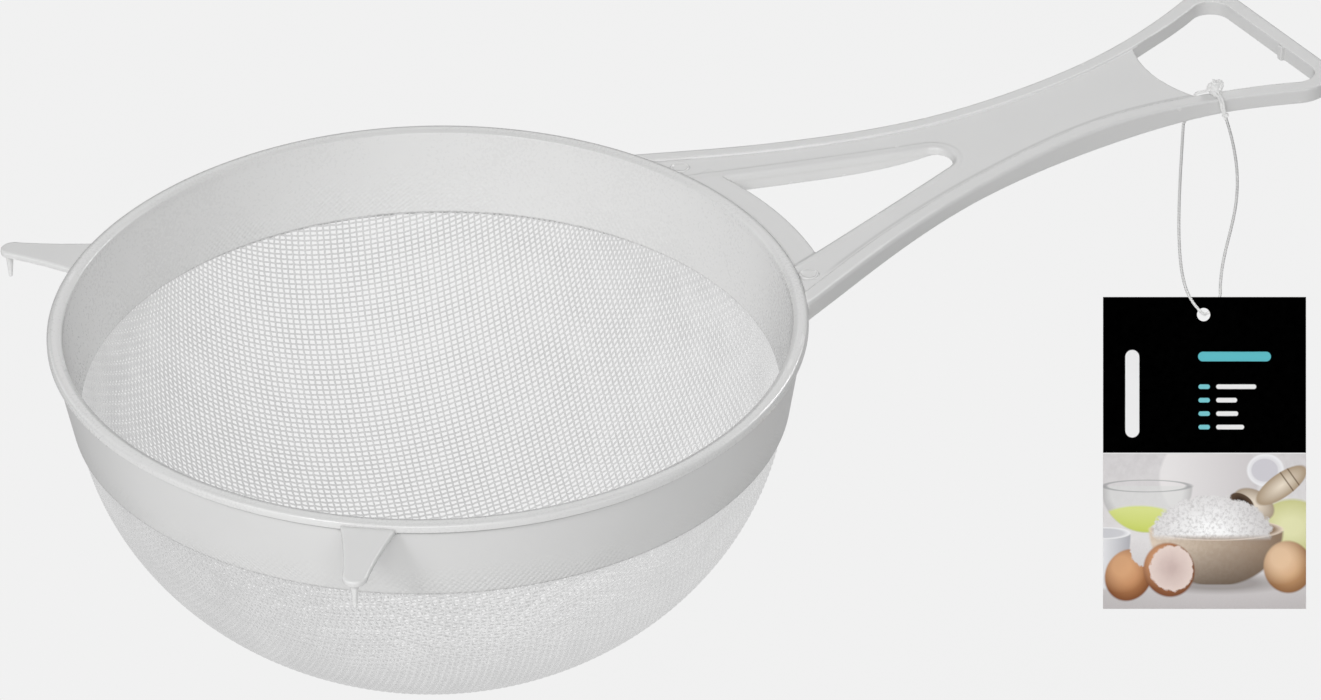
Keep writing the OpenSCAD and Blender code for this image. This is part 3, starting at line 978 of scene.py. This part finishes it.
def drape():
    """a quarter of the net: each node keeps its spacing to both neighbours on the bowl"""
    count_a, count_b = int(NET_REACH / PITCH_A) + 2, int(NET_REACH / PITCH_B) + 2
    net = np.full((count_a + 1, count_b + 1, 3), np.nan)
    for i, (radius, z) in enumerate(meridian(PITCH_A, count_a)):
        net[i, 0] = (radius, 0, z)
    for j, (radius, z) in enumerate(meridian(PITCH_B, count_b)):
        net[0, j] = (0, radius, z)
    a2, b2 = NET_A**2, NET_B**2
    for diagonal in range(2, count_a + count_b + 1):
        i = np.arange(max(1, diagonal - count_b), min(count_a, diagonal - 1) + 1)
        j = diagonal - i
        known = np.maximum(net[i - 1, j, 2], net[i, j - 1, 2]) < TRIM_Z + 4
        if not known.any():
            continue
        i, j = i[known], j[known]
        left, down = net[i - 1, j], net[i, j - 1]
        node = left + down - net[i - 1, j - 1]
        # Newton steps on both spacings and the ellipsoid, weighted to stay on it
        for _ in range(10):
            x, y, z = node.T
            height = z - BELLY
            error = np.stack([
                ((node - left) ** 2).sum(1) - PITCH_A * PITCH_A,
                ((node - down) ** 2).sum(1) - PITCH_B * PITCH_B,
                ((x**2 + y**2) / a2 + (height / NET_B) ** 2 - 1) * 1000,
            ], 1)
            surface = np.stack([2 * x / a2, 2 * y / a2, 2 * height / b2], 1) * 1000
            jacobian = np.stack([2 * (node - left), 2 * (node - down), surface], 1)
            solvable = np.abs(np.linalg.det(jacobian)) > 1e-6
            jacobian[~solvable] = np.eye(3)
            move = np.linalg.solve(jacobian, error[:, :, None])[:, :, 0]
            node = node - np.where(solvable[:, None], move, 0)
        found = np.abs(((node - left) ** 2).sum(1) - PITCH_A * PITCH_A) < 1e-3
        net[i[found], j[found]] = node[found]
    return net


def thread(nodes, over, radius, random):
    """tube through one line of nodes, or None where too little of it is on the bowl"""
    index = np.flatnonzero(nodes[:, 2] < TRIM_Z + 1.5)
    if len(index) < 4:
        return None
    used = slice(index[0], index[-1] + 1)
    nodes, over = nodes[used], over[used].astype(float)
    # midpoints, by a smooth curve through the nodes
    middles = (nodes[1:] + nodes[:-1]) / 2
    middles[1:-1] = (9 * (nodes[1:-2] + nodes[2:-1]) - nodes[:-3] - nodes[3:]) / 16
    path = np.empty((2 * len(nodes) - 1, 3))
    path[0::2], path[1::2] = nodes, middles
    rise = np.zeros(len(path))
    rise[0::2] = over * WEAVE_RISE
    x, y, z = path.T
    normals = unit(np.stack([x / NET_A**2, y / NET_A**2, (z - BELLY) / NET_B**2], 1))
    # a little unevenness, smooth along each thread
    stops = np.linspace(0, len(path), WOBBLE_STOPS)
    wobble = np.interp(np.arange(len(path)), stops, random.normal(0, WOBBLE, WOBBLE_STOPS))
    side = unit(np.cross(normals, np.gradient(path, axis=0)))
    keep = z < TRIM_Z
    path = (path + normals * rise[:, None] + side * wobble[:, None])[keep]
    return tube(path, radius, 6, normals[keep]) if len(path) >= 4 else None


def build_weave():
    quarter = drape()
    count_a, count_b = quarter.shape[0] - 1, quarter.shape[1] - 1
    i, j = np.arange(-count_a, count_a + 1)[:, None], np.arange(-count_b, count_b + 1)[None, :]
    net = quarter[np.abs(i), np.abs(j)].copy()
    net[..., 0] *= np.sign(i) + (i == 0)
    net[..., 1] *= np.sign(j) + (j == 0)
    net = net @ turn_z(WEAVE_TURN).T
    over = (i + j) % 2 * 2 - 1
    random = np.random.default_rng(7)
    families = (
        ("mesh_warp_threads", mat_warp, net, over, WARP_R),
        ("mesh_weft_threads", mat_weft, net.transpose(1, 0, 2), -over.T, WEFT_R),
    )
    for name, material, lines, signs, radius in families:
        threads = [thread(line, sign, radius, random) for line, sign in zip(lines, signs)]
        points, quads = join_shells([shell for shell in threads if shell is not None])
        ob = mesh_object(name, settle(points), quads, material)
        register(ob, "sieve", "mesh_bowl")


build_weave()


# --------------------------------------------------------------------------
# cord: hanging loop, and its hitch on the handle's loop
# --------------------------------------------------------------------------
def rotation(axis, degrees):
    return np.array(Matrix.Rotation(math.radians(degrees), 3, axis))


# the card's own axes are x right, y up and z out of its front, from its hole
HOLE = np.array([214.9, -44.33, -45.86])
CARD_TURN = rotation("Z", -30.75) @ rotation("X", 58.4) @ rotation("Z", -0.66)
CARD_W, CARD_H, CARD_T = 55.2, 84.8, 0.4
HOLE_R, HOLE_DOWN, HOLE_ASIDE = 1.8, 4.8, 0.25   # below the top edge, left of the middle
CORD_R = 0.40
FACE = CARD_T / 2 + CORD_R + 0.12   # cord's middle when it lies on the card
RIGHT_TOP, LEFT_TOP = (5.95, 54.0, -0.6), (-5.45, 51.8, -0.7)


def from_card(points):
    return np.asarray(points, float) @ CARD_TURN.T + HOLE


def build_hanging_loop():
    """down behind the card, through its hole and up in front, in the card's axes"""
    right = bezier([RIGHT_TOP, (14.2, 29, -0.6), (4.2, 22, -FACE), (4.6, 5.2, -FACE)], 60)
    left = bezier([LEFT_TOP, (-6.6, 34, 1.0), (-8.2, 14, FACE + 0.08), (-4.2, 5.5, FACE)], 60)
    through_hole = [
        (3.6, 3.0, -FACE), (2.2, 1.25, -FACE), (1.1, 0.35, -FACE + 0.08), (0.55, 0.1, -0.35),
        (0.3, 0, 0), (0.05, 0.1, 0.35), (-0.5, 0.45, FACE - 0.08), (-1.7, 1.7, FACE),
        (-3.1, 3.5, FACE),
    ]
    turn = smooth_path(np.concatenate([right[-1:], through_hole, left[-1:]]), 2)[1:-1]
    points, quads = twisted(from_card(np.concatenate([right, turn, left[::-1]])), CORD_R)
    strand = cord_material("white_cord_strand", thin=True)
    ob = mesh_object("cord_hanging_loop", points, quads, strand)
    register(ob, "cord", "cord_loop")


# hitch axes: from a point by the -Y rail, turned with it
HITCH_AT, HITCH_TURN = np.array([235.0, -18.9, 1.95]), rotation("Z", -21.5)
KNOT = (0.15, 1.45, 3.75)


def from_hitch(points):
    return np.asarray(points, float) @ HITCH_TURN.T + HITCH_AT


def knot(centre, size, turn, radius):
    """closed trefoil of cord"""
    across, up = np.array(CAMERA_RIGHT), np.array(CAMERA_UP)
    t = np.linspace(0, 2 * math.pi, 110, endpoint=False)[:, None]
    a, b = np.sin(t) + 2 * np.sin(2 * t), np.cos(t) - 2 * np.cos(2 * t)
    c, s = math.cos(turn), math.sin(turn)
    a, b = a * c - b * s, a * s + b * c
    depth = 1.15 * np.sin(3 * t) * np.cross(across, up)
    return twisted(centre + size * (a * across * 0.86 + b * up + depth), radius, closed=True)


def build_hitch():
    """knotted on top of the rail, then doubled down its outer face to a small knot"""
    end = from_card(RIGHT_TOP)
    shells = [
        knot(from_hitch(KNOT), size=0.74, turn=0.35, radius=0.66),
        knot(end, size=0.27, turn=2.2, radius=0.36),
    ]
    # heart of the knot, so no light shows through it
    core = from_hitch([(-0.2, 1.1, 2.5), KNOT, (0.3, 1.7, 5.0)])
    shells.append(twisted(smooth_path(core, 2), 1.5))
    # doubled run over the outer face: x, y, z and the share of the spread between the two
    doubled = np.array([
        (0.1, 1.2, 3.3, 0.5), (0.3, -0.6, 2.85, 1), (0.55, -2.0, 2.75, 1),
        (0.75, -2.75, 2.2, 1), (0.95, -2.95, 1.0, 1), (1.25, -3.1, -0.8, 0.8),
        (1.6, -3.55, -1.8, 0.4),
    ])
    for spread in (-0.36, 0.36):
        run = doubled[:, :3].copy()
        run[:, 0] += spread * doubled[:, 3]
        run = np.concatenate([from_hitch(run), end[None]])
        shells.append(twisted(smooth_path(run, 3), CORD_R * 0.95))
    # the other end: under the rail, up through the loop and back to the knot
    run = np.array([
        from_card(LEFT_TOP), (226.3, -16.7, -2.3), (228.6, -14.9, -2.0), (230.6, -13.9, -0.4),
        (231.0, -13.9, 2.4), (231.3, -14.5, 4.2), (232.6, -15.9, 4.7), from_hitch(KNOT),
    ])
    shells.append(twisted(smooth_path(run, 3), CORD_R))
    # cut tail
    tail = from_hitch([(0.1, 1.5, 4.2), (-0.35, 1.8, 5.6), (-0.5, 1.9, 6.3)])
    shells.append(twisted(smooth_path(tail, 2), CORD_R))
    ob = mesh_object("cord_turn_and_knots", *join_shells(shells), mat_cord)
    register(ob, "sieve", "cord_hitch")


build_hanging_loop()
build_hitch()

# --------------------------------------------------------------------------
# card
# --------------------------------------------------------------------------
HOLE_STEPS, HOLE_SQUARE = 48, 4.0       # points round the hole, half side of the square round it
EDGE_ROUND = 0.05


def card_mesh():
    """sheet with a punched hole and softly rounded edges"""
    x0, x1 = -CARD_W / 2 + HOLE_ASIDE, CARD_W / 2 + HOLE_ASIDE
    y0, y1 = HOLE_DOWN - CARD_H, HOLE_DOWN
    half, margin = HOLE_SQUARE, HOLE_SQUARE + 1.5
    # rings round the hole out to a square, then a grid for the rest
    angles = np.arange(HOLE_STEPS) * 2 * math.pi / HOLE_STEPS + math.pi / 4
    directions = [(math.cos(a), math.sin(a)) for a in angles]
    ring_radii = [HOLE_R, HOLE_R + 0.05, 2.4, 3.1]
    points = [(r * c, r * s) for r in ring_radii for c, s in directions]
    square = []
    for c, s in directions:
        reach = half / max(abs(c), abs(s))
        square.append((c * reach, s * reach))
    points += square
    quads = grid_quads(len(ring_radii) + 1, HOLE_STEPS, False).tolist()
    xs, ys = (sorted({round(p[k], 6) for p in square}) for k in range(2))
    grid_x = [x0, x0 + 0.06, *np.linspace(x0 + 1, -margin, 12), *xs,
              *np.linspace(margin, x1 - 1, 12), x1 - 0.06, x1]
    grid_y = [y0, y0 + 0.06, *np.linspace(y0 + 1, -margin, 36), *ys,
              (half + y1) / 2, y1 - 0.06, y1]
    index = {(round(x, 5), round(y, 5)): i for i, (x, y) in enumerate(points)}

    def point_index(x, y):
        key = (round(x, 5), round(y, 5))
        if key not in index:
            index[key] = len(points)
            points.append((x, y))
        return index[key]

    for left, right in zip(grid_x, grid_x[1:]):
        for low, high in zip(grid_y, grid_y[1:]):
            if abs((left + right) / 2) < half and abs((low + high) / 2) < half:
                continue
            corners = ((left, low), (right, low), (right, high), (left, high))
            quads.append([point_index(x, y) for x, y in corners])
    flat = np.array(points)
    x, y = flat.T
    from_edge = np.minimum.reduce([x - x0, x1 - x, y - y0, y1 - y, np.hypot(x, y) - HOLE_R])
    half_t = CARD_T / 2 - EDGE_ROUND * np.clip(1 - from_edge / EDGE_ROUND, 0, 1)
    sheets = [np.column_stack([flat, half_t]), np.column_stack([flat, -half_t])]
    # edges with a face on one side only become the side walls
    count = len(flat)
    edges = dict.fromkeys((q[k], q[(k + 1) % 4]) for q in quads for k in range(4))
    walls = [(b, a, a + count, b + count) for a, b in edges if (b, a) not in edges]
    front = np.array(quads)
    return np.concatenate(sheets), np.concatenate([front, front[:, ::-1] + count, walls])


class CardNodes(Nodes):
    """shader nodes for painting on the card, in its own millimetres"""

    def __init__(self, name):
        super().__init__(name)
        self.place = self.object_mm()
        self.x, self.y, self.z = (self.card_axis(CARD_TURN[:, k]) for k in range(3))
        self.soft = self.noise(self.place, scale=0.5, detail=4, rough=0.6)
        self.grain = self.noise(self.place, scale=3.0, detail=3, rough=0.6)
        self.canvas = None

    def card_axis(self, axis):
        node = self.new("ShaderNodeVectorMath", operation="DOT_PRODUCT")
        self.put(node.inputs[0], self.place)
        node.inputs[1].default_value = tuple(float(c) for c in axis)
        return self.minus(node.outputs["Value"], float(np.dot(axis, HOLE)))

    def paint(self, mask, colour, strength=None):
        if strength is not None:
            mask = self.times(mask, strength)
        self.canvas = self.mix(mask, self.canvas, colour)

    def bar(self, x0, x1, y0, y1, colour):
        """bar with round ends along its long side"""
        radius = min(x1 - x0, y1 - y0) / 2
        beyond = []
        for value, low, high in ((self.x, x0, x1), (self.y, y0, y1)):
            off = self.math("ABSOLUTE", self.minus(value, (low + high) / 2))
            beyond.append(self.math("MAXIMUM", self.minus(off, (high - low) / 2 - radius), 0.0))
        edge = (radius - 0.08, radius + 0.08)
        self.paint(self.ramp(self.hypot(*beyond), edge, to=(1, 0)), colour)

    def ellipse(self, at, radii, edge, turn=0.0, wobble=0.0):
        """mask of an ellipse, and the distance from its middle with 1 at its edge"""
        c, s = math.cos(turn), math.sin(turn)
        (wide, high), dx, dy = radii, self.minus(self.x, at[0]), self.minus(self.y, at[1])
        u = self.plus(self.times(dx, c / wide), self.times(dy, s / wide))
        v = self.plus(self.times(dx, -s / high), self.times(dy, c / high))
        radius = self.hypot(u, v)
        if wobble:
            radius = self.plus(radius, self.ramp(self.soft, (0.3, 0.7), to=(-wobble, wobble)))
        return self.ramp(radius, (1 - edge, 1 + edge), to=(1, 0)), radius

    def cut(self, mask, height, blur, keep):
        """keeps the part of a mask above or below a height"""
        to = (0, 1) if keep == "above" else (1, 0)
        return self.times(mask, self.ramp(self.y, (height - blur, height + blur), to))

    def oval(self, at, radii, edge, tones, span, along=None, strength=None, below=None, **form):
        """paints an ellipse whose tones run from its middle outwards, or along a value"""
        mask, radius = self.ellipse(at, radii, edge, **form)
        if below is not None:
            mask = self.cut(mask, below, 0.1, "below")
        tone = self.fade(radius if along is None else along, span, *tones)
        self.paint(mask, tone, strength)
        return mask

    def egg(self, at, radii, turn, light, middle, dark):
        """mask and colour of an egg lit from its upper left"""
        (x, y), (wide, high) = at, radii
        mask, radius = self.ellipse(at, radii, 0.04, turn)
        lit, _ = self.ellipse((x - wide * 0.3, y + high * 0.35), (wide * 0.75, high * 0.7),
                              0.5, turn)
        colour = self.fade(radius, (0.3, 1.0), middle, dark)
        return mask, self.mix(self.times(lit, 0.8), colour, light)


def paint_upper_panel(nodes):
    """plain black with generic marks, no lettering"""
    nodes.canvas = nodes.fade(nodes.soft, (0.3, 0.7), rgb(0, 0, 0), rgb(2, 2, 2))
    nodes.bar(-21.3, -17.5, -33.4, -9.6, rgb(236, 236, 236))
    nodes.bar(-1.5, 18.3, -12.7, -10.1, rgb(96, 186, 196))
    row_pitch, half = 3.66, 0.62
    for row, length in enumerate((10.9, 5.7, 6.0, 7.6)):
        y = -19.6 - row_pitch * row
        nodes.bar(-1.4, 1.7, y - half, y + half, rgb(120, 196, 204))
        nodes.bar(3.4, 3.4 + length, y - half, y + half, rgb(232, 232, 232))
    return nodes.canvas


def paint_background(nodes):
    x, y = nodes.x, nodes.y
    wall = nodes.fade(y, (-62, -38), rgb(224, 221, 221), rgb(205, 202, 203))
    nodes.canvas = nodes.fade(nodes.soft, (0.35, 0.65), wall, rgb(236, 234, 235), (0, 0.25))
    # pale jug with an open handle
    nodes.oval((1.5, -44.5), (13.5, 12.5), 0.03, (rgb(230, 227, 227), rgb(204, 200, 201)),
               (-10, 14), along=x)
    nodes.oval((16.8, -42.3), (5.0, 4.4), 0.05, (rgb(222, 221, 224), rgb(238, 238, 240)),
               (0.75, 1.0))
    opening, _ = nodes.ellipse((16.6, -42.3), (3.6, 3.1), 0.05)
    nodes.paint(opening, rgb(204, 202, 208))
    # worktop
    table = nodes.fade(y, (-80, -62), rgb(196, 191, 191), rgb(226, 223, 223))
    table = nodes.fade(nodes.grain, (0.35, 0.7), table, rgb(208, 204, 204), (0, 0.4))
    nodes.paint(nodes.ramp(y, (-62.2, -61.2), to=(1, 0)), table)
    # glass dish with something green in it
    dish = nodes.oval((-15.5, -46.6), (12.4, 12.6), 0.02, (rgb(216, 218, 216), rgb(140, 142, 142)),
                      (0.8, 1.0), strength=0.45, below=-46.6)
    green, _ = nodes.ellipse((-17.5, -56.6), (11.4, 4.6), 0.06)
    tone = nodes.fade(y, (-61, -53), rgb(196, 208, 66), rgb(216, 224, 130))
    nodes.paint(nodes.times(green, dish), tone, strength=0.9)
    rim, radius = nodes.ellipse((-15.5, -46.6), (12.4, 1.7), 0.05)
    rim = nodes.times(rim, nodes.ramp(radius, (0.84, 0.90)))
    nodes.paint(rim, rgb(150, 150, 152), strength=0.7)
    # yellow-green oval at the right edge
    nodes.oval((24.0, -57.6), (9.4, 7.4), 0.06, (rgb(226, 226, 170), rgb(196, 196, 120)),
               (0.3, 1.0), strength=0.85)
    # cup at the left edge
    nodes.oval((-26.8, -59.6), (6.9, 15.0), 0.03, (rgb(232, 232, 234), rgb(176, 176, 182)),
               (-27.5, -20), along=x, below=-59.6)
    nodes.oval((-26.8, -59.4), (6.9, 1.6), 0.06, (rgb(206, 206, 210), rgb(246, 246, 247)),
               (0.7, 1.0))


def paint_flour_bowl(nodes):
    x, y = nodes.x, nodes.y
    shadow, _ = nodes.ellipse((4.0, -73.0), (15.5, 2.4), 0.35)
    nodes.paint(shadow, rgb(120, 112, 108), strength=0.6)
    bowl, _ = nodes.ellipse((3.4, -58.6), (18.2, 15.2), 0.02)
    bowl = nodes.cut(bowl, -58.8, 0.1, "below")
    bowl = nodes.times(bowl, nodes.ramp(y, (-73.6, -73.2)))
    shade = nodes.fade(x, (-14, 20), rgb(222, 206, 188), rgb(140, 120, 102))
    mottle = nodes.noise(nodes.place, scale=0.9, detail=2)
    shade = nodes.fade(mottle, (0.4, 0.6), shade, rgb(150, 122, 98), (0, 0.14))
    shade = nodes.fade(y, (-74, -63), shade, rgb(74, 60, 50), (0.8, 0.0))
    nodes.paint(bowl, shade)
    nodes.oval((3.4, -58.4), (18.2, 3.0), 0.03, (rgb(150, 128, 108), rgb(232, 216, 200)),
               (0.88, 1.0))
    # scoop: pale turned body, dark mouth and handle with two grooves
    nodes.oval((13.6, -51.6), (6.0, 3.9), 0.05, (rgb(226, 214, 198), rgb(164, 148, 130)),
               (0.2, 1.0), turn=-0.5)
    nodes.oval((10.4, -51.0), (3.6, 2.1), 0.06, (rgb(44, 34, 28), rgb(96, 78, 64)),
               (0.2, 1.0), turn=-0.55)
    grip = nodes.oval((21.2, -46.4), (8.2, 3.2), 0.05, (rgb(232, 220, 202), rgb(166, 146, 122)),
                      (0.0, 1.0), turn=0.62)
    first_x, first_y = 22.6, -45.4
    for groove_x in (first_x, 24.4):
        groove_y = first_y + (groove_x - first_x) * 0.7
        along = nodes.plus(nodes.times(nodes.minus(x, groove_x), 0.81),
                           nodes.times(nodes.minus(y, groove_y), 0.58))
        groove = nodes.ramp(nodes.math("ABSOLUTE", along), (0.12, 0.28), to=(1, 0))
        nodes.paint(nodes.times(groove, grip), rgb(104, 84, 64), strength=0.75)
    # flour heap
    mask, radius = nodes.ellipse((2.4, -59.6), (16.0, 10.4), 0.03, wobble=0.07)
    heap = nodes.fade(radius, (0.2, 1.0), rgb(252, 252, 252), rgb(222, 220, 220))
    lumps = nodes.noise(nodes.place, scale=1.1, detail=4, rough=0.7)
    heap = nodes.fade(lumps, (0.46, 0.64), heap, rgb(186, 183, 183), (0, 0.62))
    heap = nodes.fade(x, (4, 18), heap, rgb(176, 171, 170), (0, 0.35))
    nodes.paint(nodes.cut(mask, -60.6, 0.9, "above"), heap)


def paint_eggs(nodes):
    """one whole, and two halves of a broken shell"""
    nodes.paint(*nodes.egg((22.9, -68.6), (6.6, 7.1), 0.15, light=rgb(238, 206, 172),
                           middle=rgb(208, 162, 118), dark=rgb(144, 104, 72)))
    shell, colour = nodes.egg((-20.4, -70.8), (6.3, 7.2), -0.45, light=rgb(226, 176, 134),
                              middle=rgb(196, 138, 94), dark=rgb(128, 80, 52))
    bite, _ = nodes.ellipse((-16.2, -64.6), (3.6, 4.2), 0.06, turn=0.5, wobble=0.16)
    nodes.paint(nodes.times(shell, nodes.minus(1.0, bite)), colour)
    nodes.paint(*nodes.egg((-9.4, -69.4), (6.9, 7.4), 0.35, light=rgb(214, 160, 120),
                           middle=rgb(184, 126, 88), dark=rgb(126, 80, 56)))
    nodes.oval((-8.7, -69.0), (5.9, 6.3), 0.04, (rgb(206, 184, 178), rgb(232, 214, 206)),
               (0.1, 1.0), turn=0.35, wobble=0.07)


def card_material():
    nodes = CardNodes("printed_card")
    upper = paint_upper_panel(nodes)
    paint_background(nodes)
    paint_flour_bowl(nodes)
    paint_eggs(nodes)
    # thin pale line between the panels
    printed = nodes.fade(nodes.y, (-37.62, -37.50), upper, rgb(232, 232, 232), (1, 0))
    printed = nodes.fade(nodes.y, (-37.92, -37.80), printed, nodes.canvas, (1, 0))
    # the back and the cut edge are plain white board
    front = nodes.ramp(nodes.z, (CARD_T / 2 - 0.06, CARD_T / 2 - 0.03))
    board = nodes.fade(nodes.grain, (0.35, 0.65), rgb(226, 226, 223), rgb(238, 238, 236))
    nodes.principled(Base_Color=nodes.mix(front, board, printed),
                     Roughness=nodes.ramp(nodes.grain, (0.3, 0.7), to=(0.40, 0.50)),
                     Normal=nodes.bump(nodes.grain, strength=0.15, distance_mm=0.02),
                     Specular_IOR_Level=0.0)
    return nodes.mat


def build_card():
    points, quads = card_mesh()
    card = mesh_object("swing_card", from_card(points), quads, card_material(), smooth=False)
    register(card, "tag", "swing_tag")


build_card()

# --------------------------------------------------------------------------
# floor and world, in metres
# --------------------------------------------------------------------------
FLOOR_HALF, FLOOR_Z = 6.0, -0.9
FLOOR_LIGHT = 0.71      # the floor's strength to all but the camera


def build_floor():
    mesh = bpy.data.meshes.new("floor")
    corners = [(x * FLOOR_HALF, y * FLOOR_HALF, FLOOR_Z)
               for x, y in ((-1, -1), (1, -1), (1, 1), (-1, 1))]
    mesh.from_pydata(corners, [], [(0, 1, 2, 3)])
    nodes = Nodes("pale_floor")
    tone = nodes.noise(nodes.object_mm(), scale=0.004, detail=2)
    colour = nodes.fade(tone, (0.3, 0.7), rgb(240.6, 240.6, 240.6), rgb(241.2, 241.2, 241.2))
    glow = nodes.new("ShaderNodeEmission", name="glow")
    nodes.put(glow.inputs[0], colour)
    seen = nodes.new("ShaderNodeLightPath").outputs["Is Camera Ray"]
    nodes.put(glow.inputs[1], nodes.ramp(seen, (0.0, 1.0), to=(FLOOR_LIGHT, 1.0)))
    nodes.tree.links.new(glow.outputs[0], nodes.out.inputs[0])
    nodes.mat.cycles.emission_sampling = "NONE"
    mesh.materials.append(nodes.mat)
    ob = bpy.data.objects.new("floor", mesh)
    scene.collection.objects.link(ob)


def build_world():
    """seen by the camera only; it gives no light"""
    world = bpy.data.worlds.new("studio")
    scene.world = world
    world.use_nodes = True
    tree = world.node_tree
    background = tree.nodes["Background"]
    background.inputs[0].default_value = rgb(240.9, 240.9, 240.9)
    path = tree.nodes.new("ShaderNodeLightPath")
    tree.links.new(path.outputs["Is Camera Ray"], background.inputs[1])


build_floor()
build_world()

# --------------------------------------------------------------------------
# lights and camera, in metres
# --------------------------------------------------------------------------
CENTRE = Vector((0.06, 0.0, -0.03))
LIGHT_DISTANCE = 2.2
# name, azimuth (0 on the camera's side, + to the right), elevation, side length, watts
AREA_LIGHTS = (
    ("front_soft", 0, 35, 1.2, 14.9), ("front_left_soft", -45, 35, 1.2, 8.8),
    ("front_right_soft", 45, 35, 1.2, 5.8), ("left_low", -60, 5, 1.2, 4.2),
    ("front_low", -30, 15, 1.0, 1.8), ("back_left_soft", -135, 35, 1.2, 6.6),
    ("back_soft", 180, 35, 1.2, 4.6), ("back_right_soft", 135, 35, 1.2, 5.8),
    ("left_gleam", -34, 38, 0.45, 6.9), ("back_right_gleam", 141, 36, 0.5, 8.0),
    ("right_low", 62, 4, 1.0, 1.1),
)


def round_the_object(azimuth, elevation):
    a, e = math.radians(azimuth), math.radians(elevation)
    right = Vector((CAMERA_RIGHT[0], CAMERA_RIGHT[1], 0)).normalized()
    toward = Vector((-CAMERA_FORWARD[0], -CAMERA_FORWARD[1], 0)).normalized()
    up = Vector((0, 0, LIGHT_DISTANCE * math.sin(e)))
    return (CENTRE + right * (LIGHT_DISTANCE * math.sin(a) * math.cos(e)) + up
            + toward * (LIGHT_DISTANCE * math.cos(a) * math.cos(e)))


def place_light(light, location, target):
    ob = bpy.data.objects.new(light.name, light)
    ob.location = location
    ob.rotation_euler = (target - location).to_track_quat("-Z", "Y").to_euler()
    scene.collection.objects.link(ob)


def build_lights():
    for name, azimuth, elevation, side, watts in AREA_LIGHTS:
        light = bpy.data.lights.new(name, "AREA")
        light.shape = "RECTANGLE"
        light.size = light.size_y = side
        light.energy = watts
        place_light(light, round_the_object(azimuth, elevation), CENTRE)
    # narrow spot on the card's middle, from the camera's side and a little above
    spot = bpy.data.lights.new("card_fill", "SPOT")
    spot.energy = 10.0
    spot.spot_size = 0.112
    spot.spot_blend = 0.35
    spot.shadow_soft_size = 0.03
    middle = Vector(from_card((HOLE_ASIDE, HOLE_DOWN - CARD_H / 2, 0)) * MM)
    place_light(spot, middle - Vector(CAMERA_FORWARD) + Vector((0, 0, 0.12)), middle)


def build_camera():
    data = bpy.data.cameras.new("camera")
    data.sensor_width = 36.0
    data.lens = 208.9227434
    data.clip_start, data.clip_end = 0.05, 50
    camera = bpy.data.objects.new("camera", data)
    axes = Matrix((CAMERA_RIGHT, CAMERA_UP, -Vector(CAMERA_FORWARD))).transposed()
    place = Matrix.Translation((-0.8216839, -1.4979865, 1.0396501))
    camera.matrix_world = place @ axes.to_4x4()
    scene.collection.objects.link(camera)
    scene.camera = camera


build_lights()
build_camera()
scene.view_settings.view_transform = "Standard"
scene.cycles.use_denoising = True
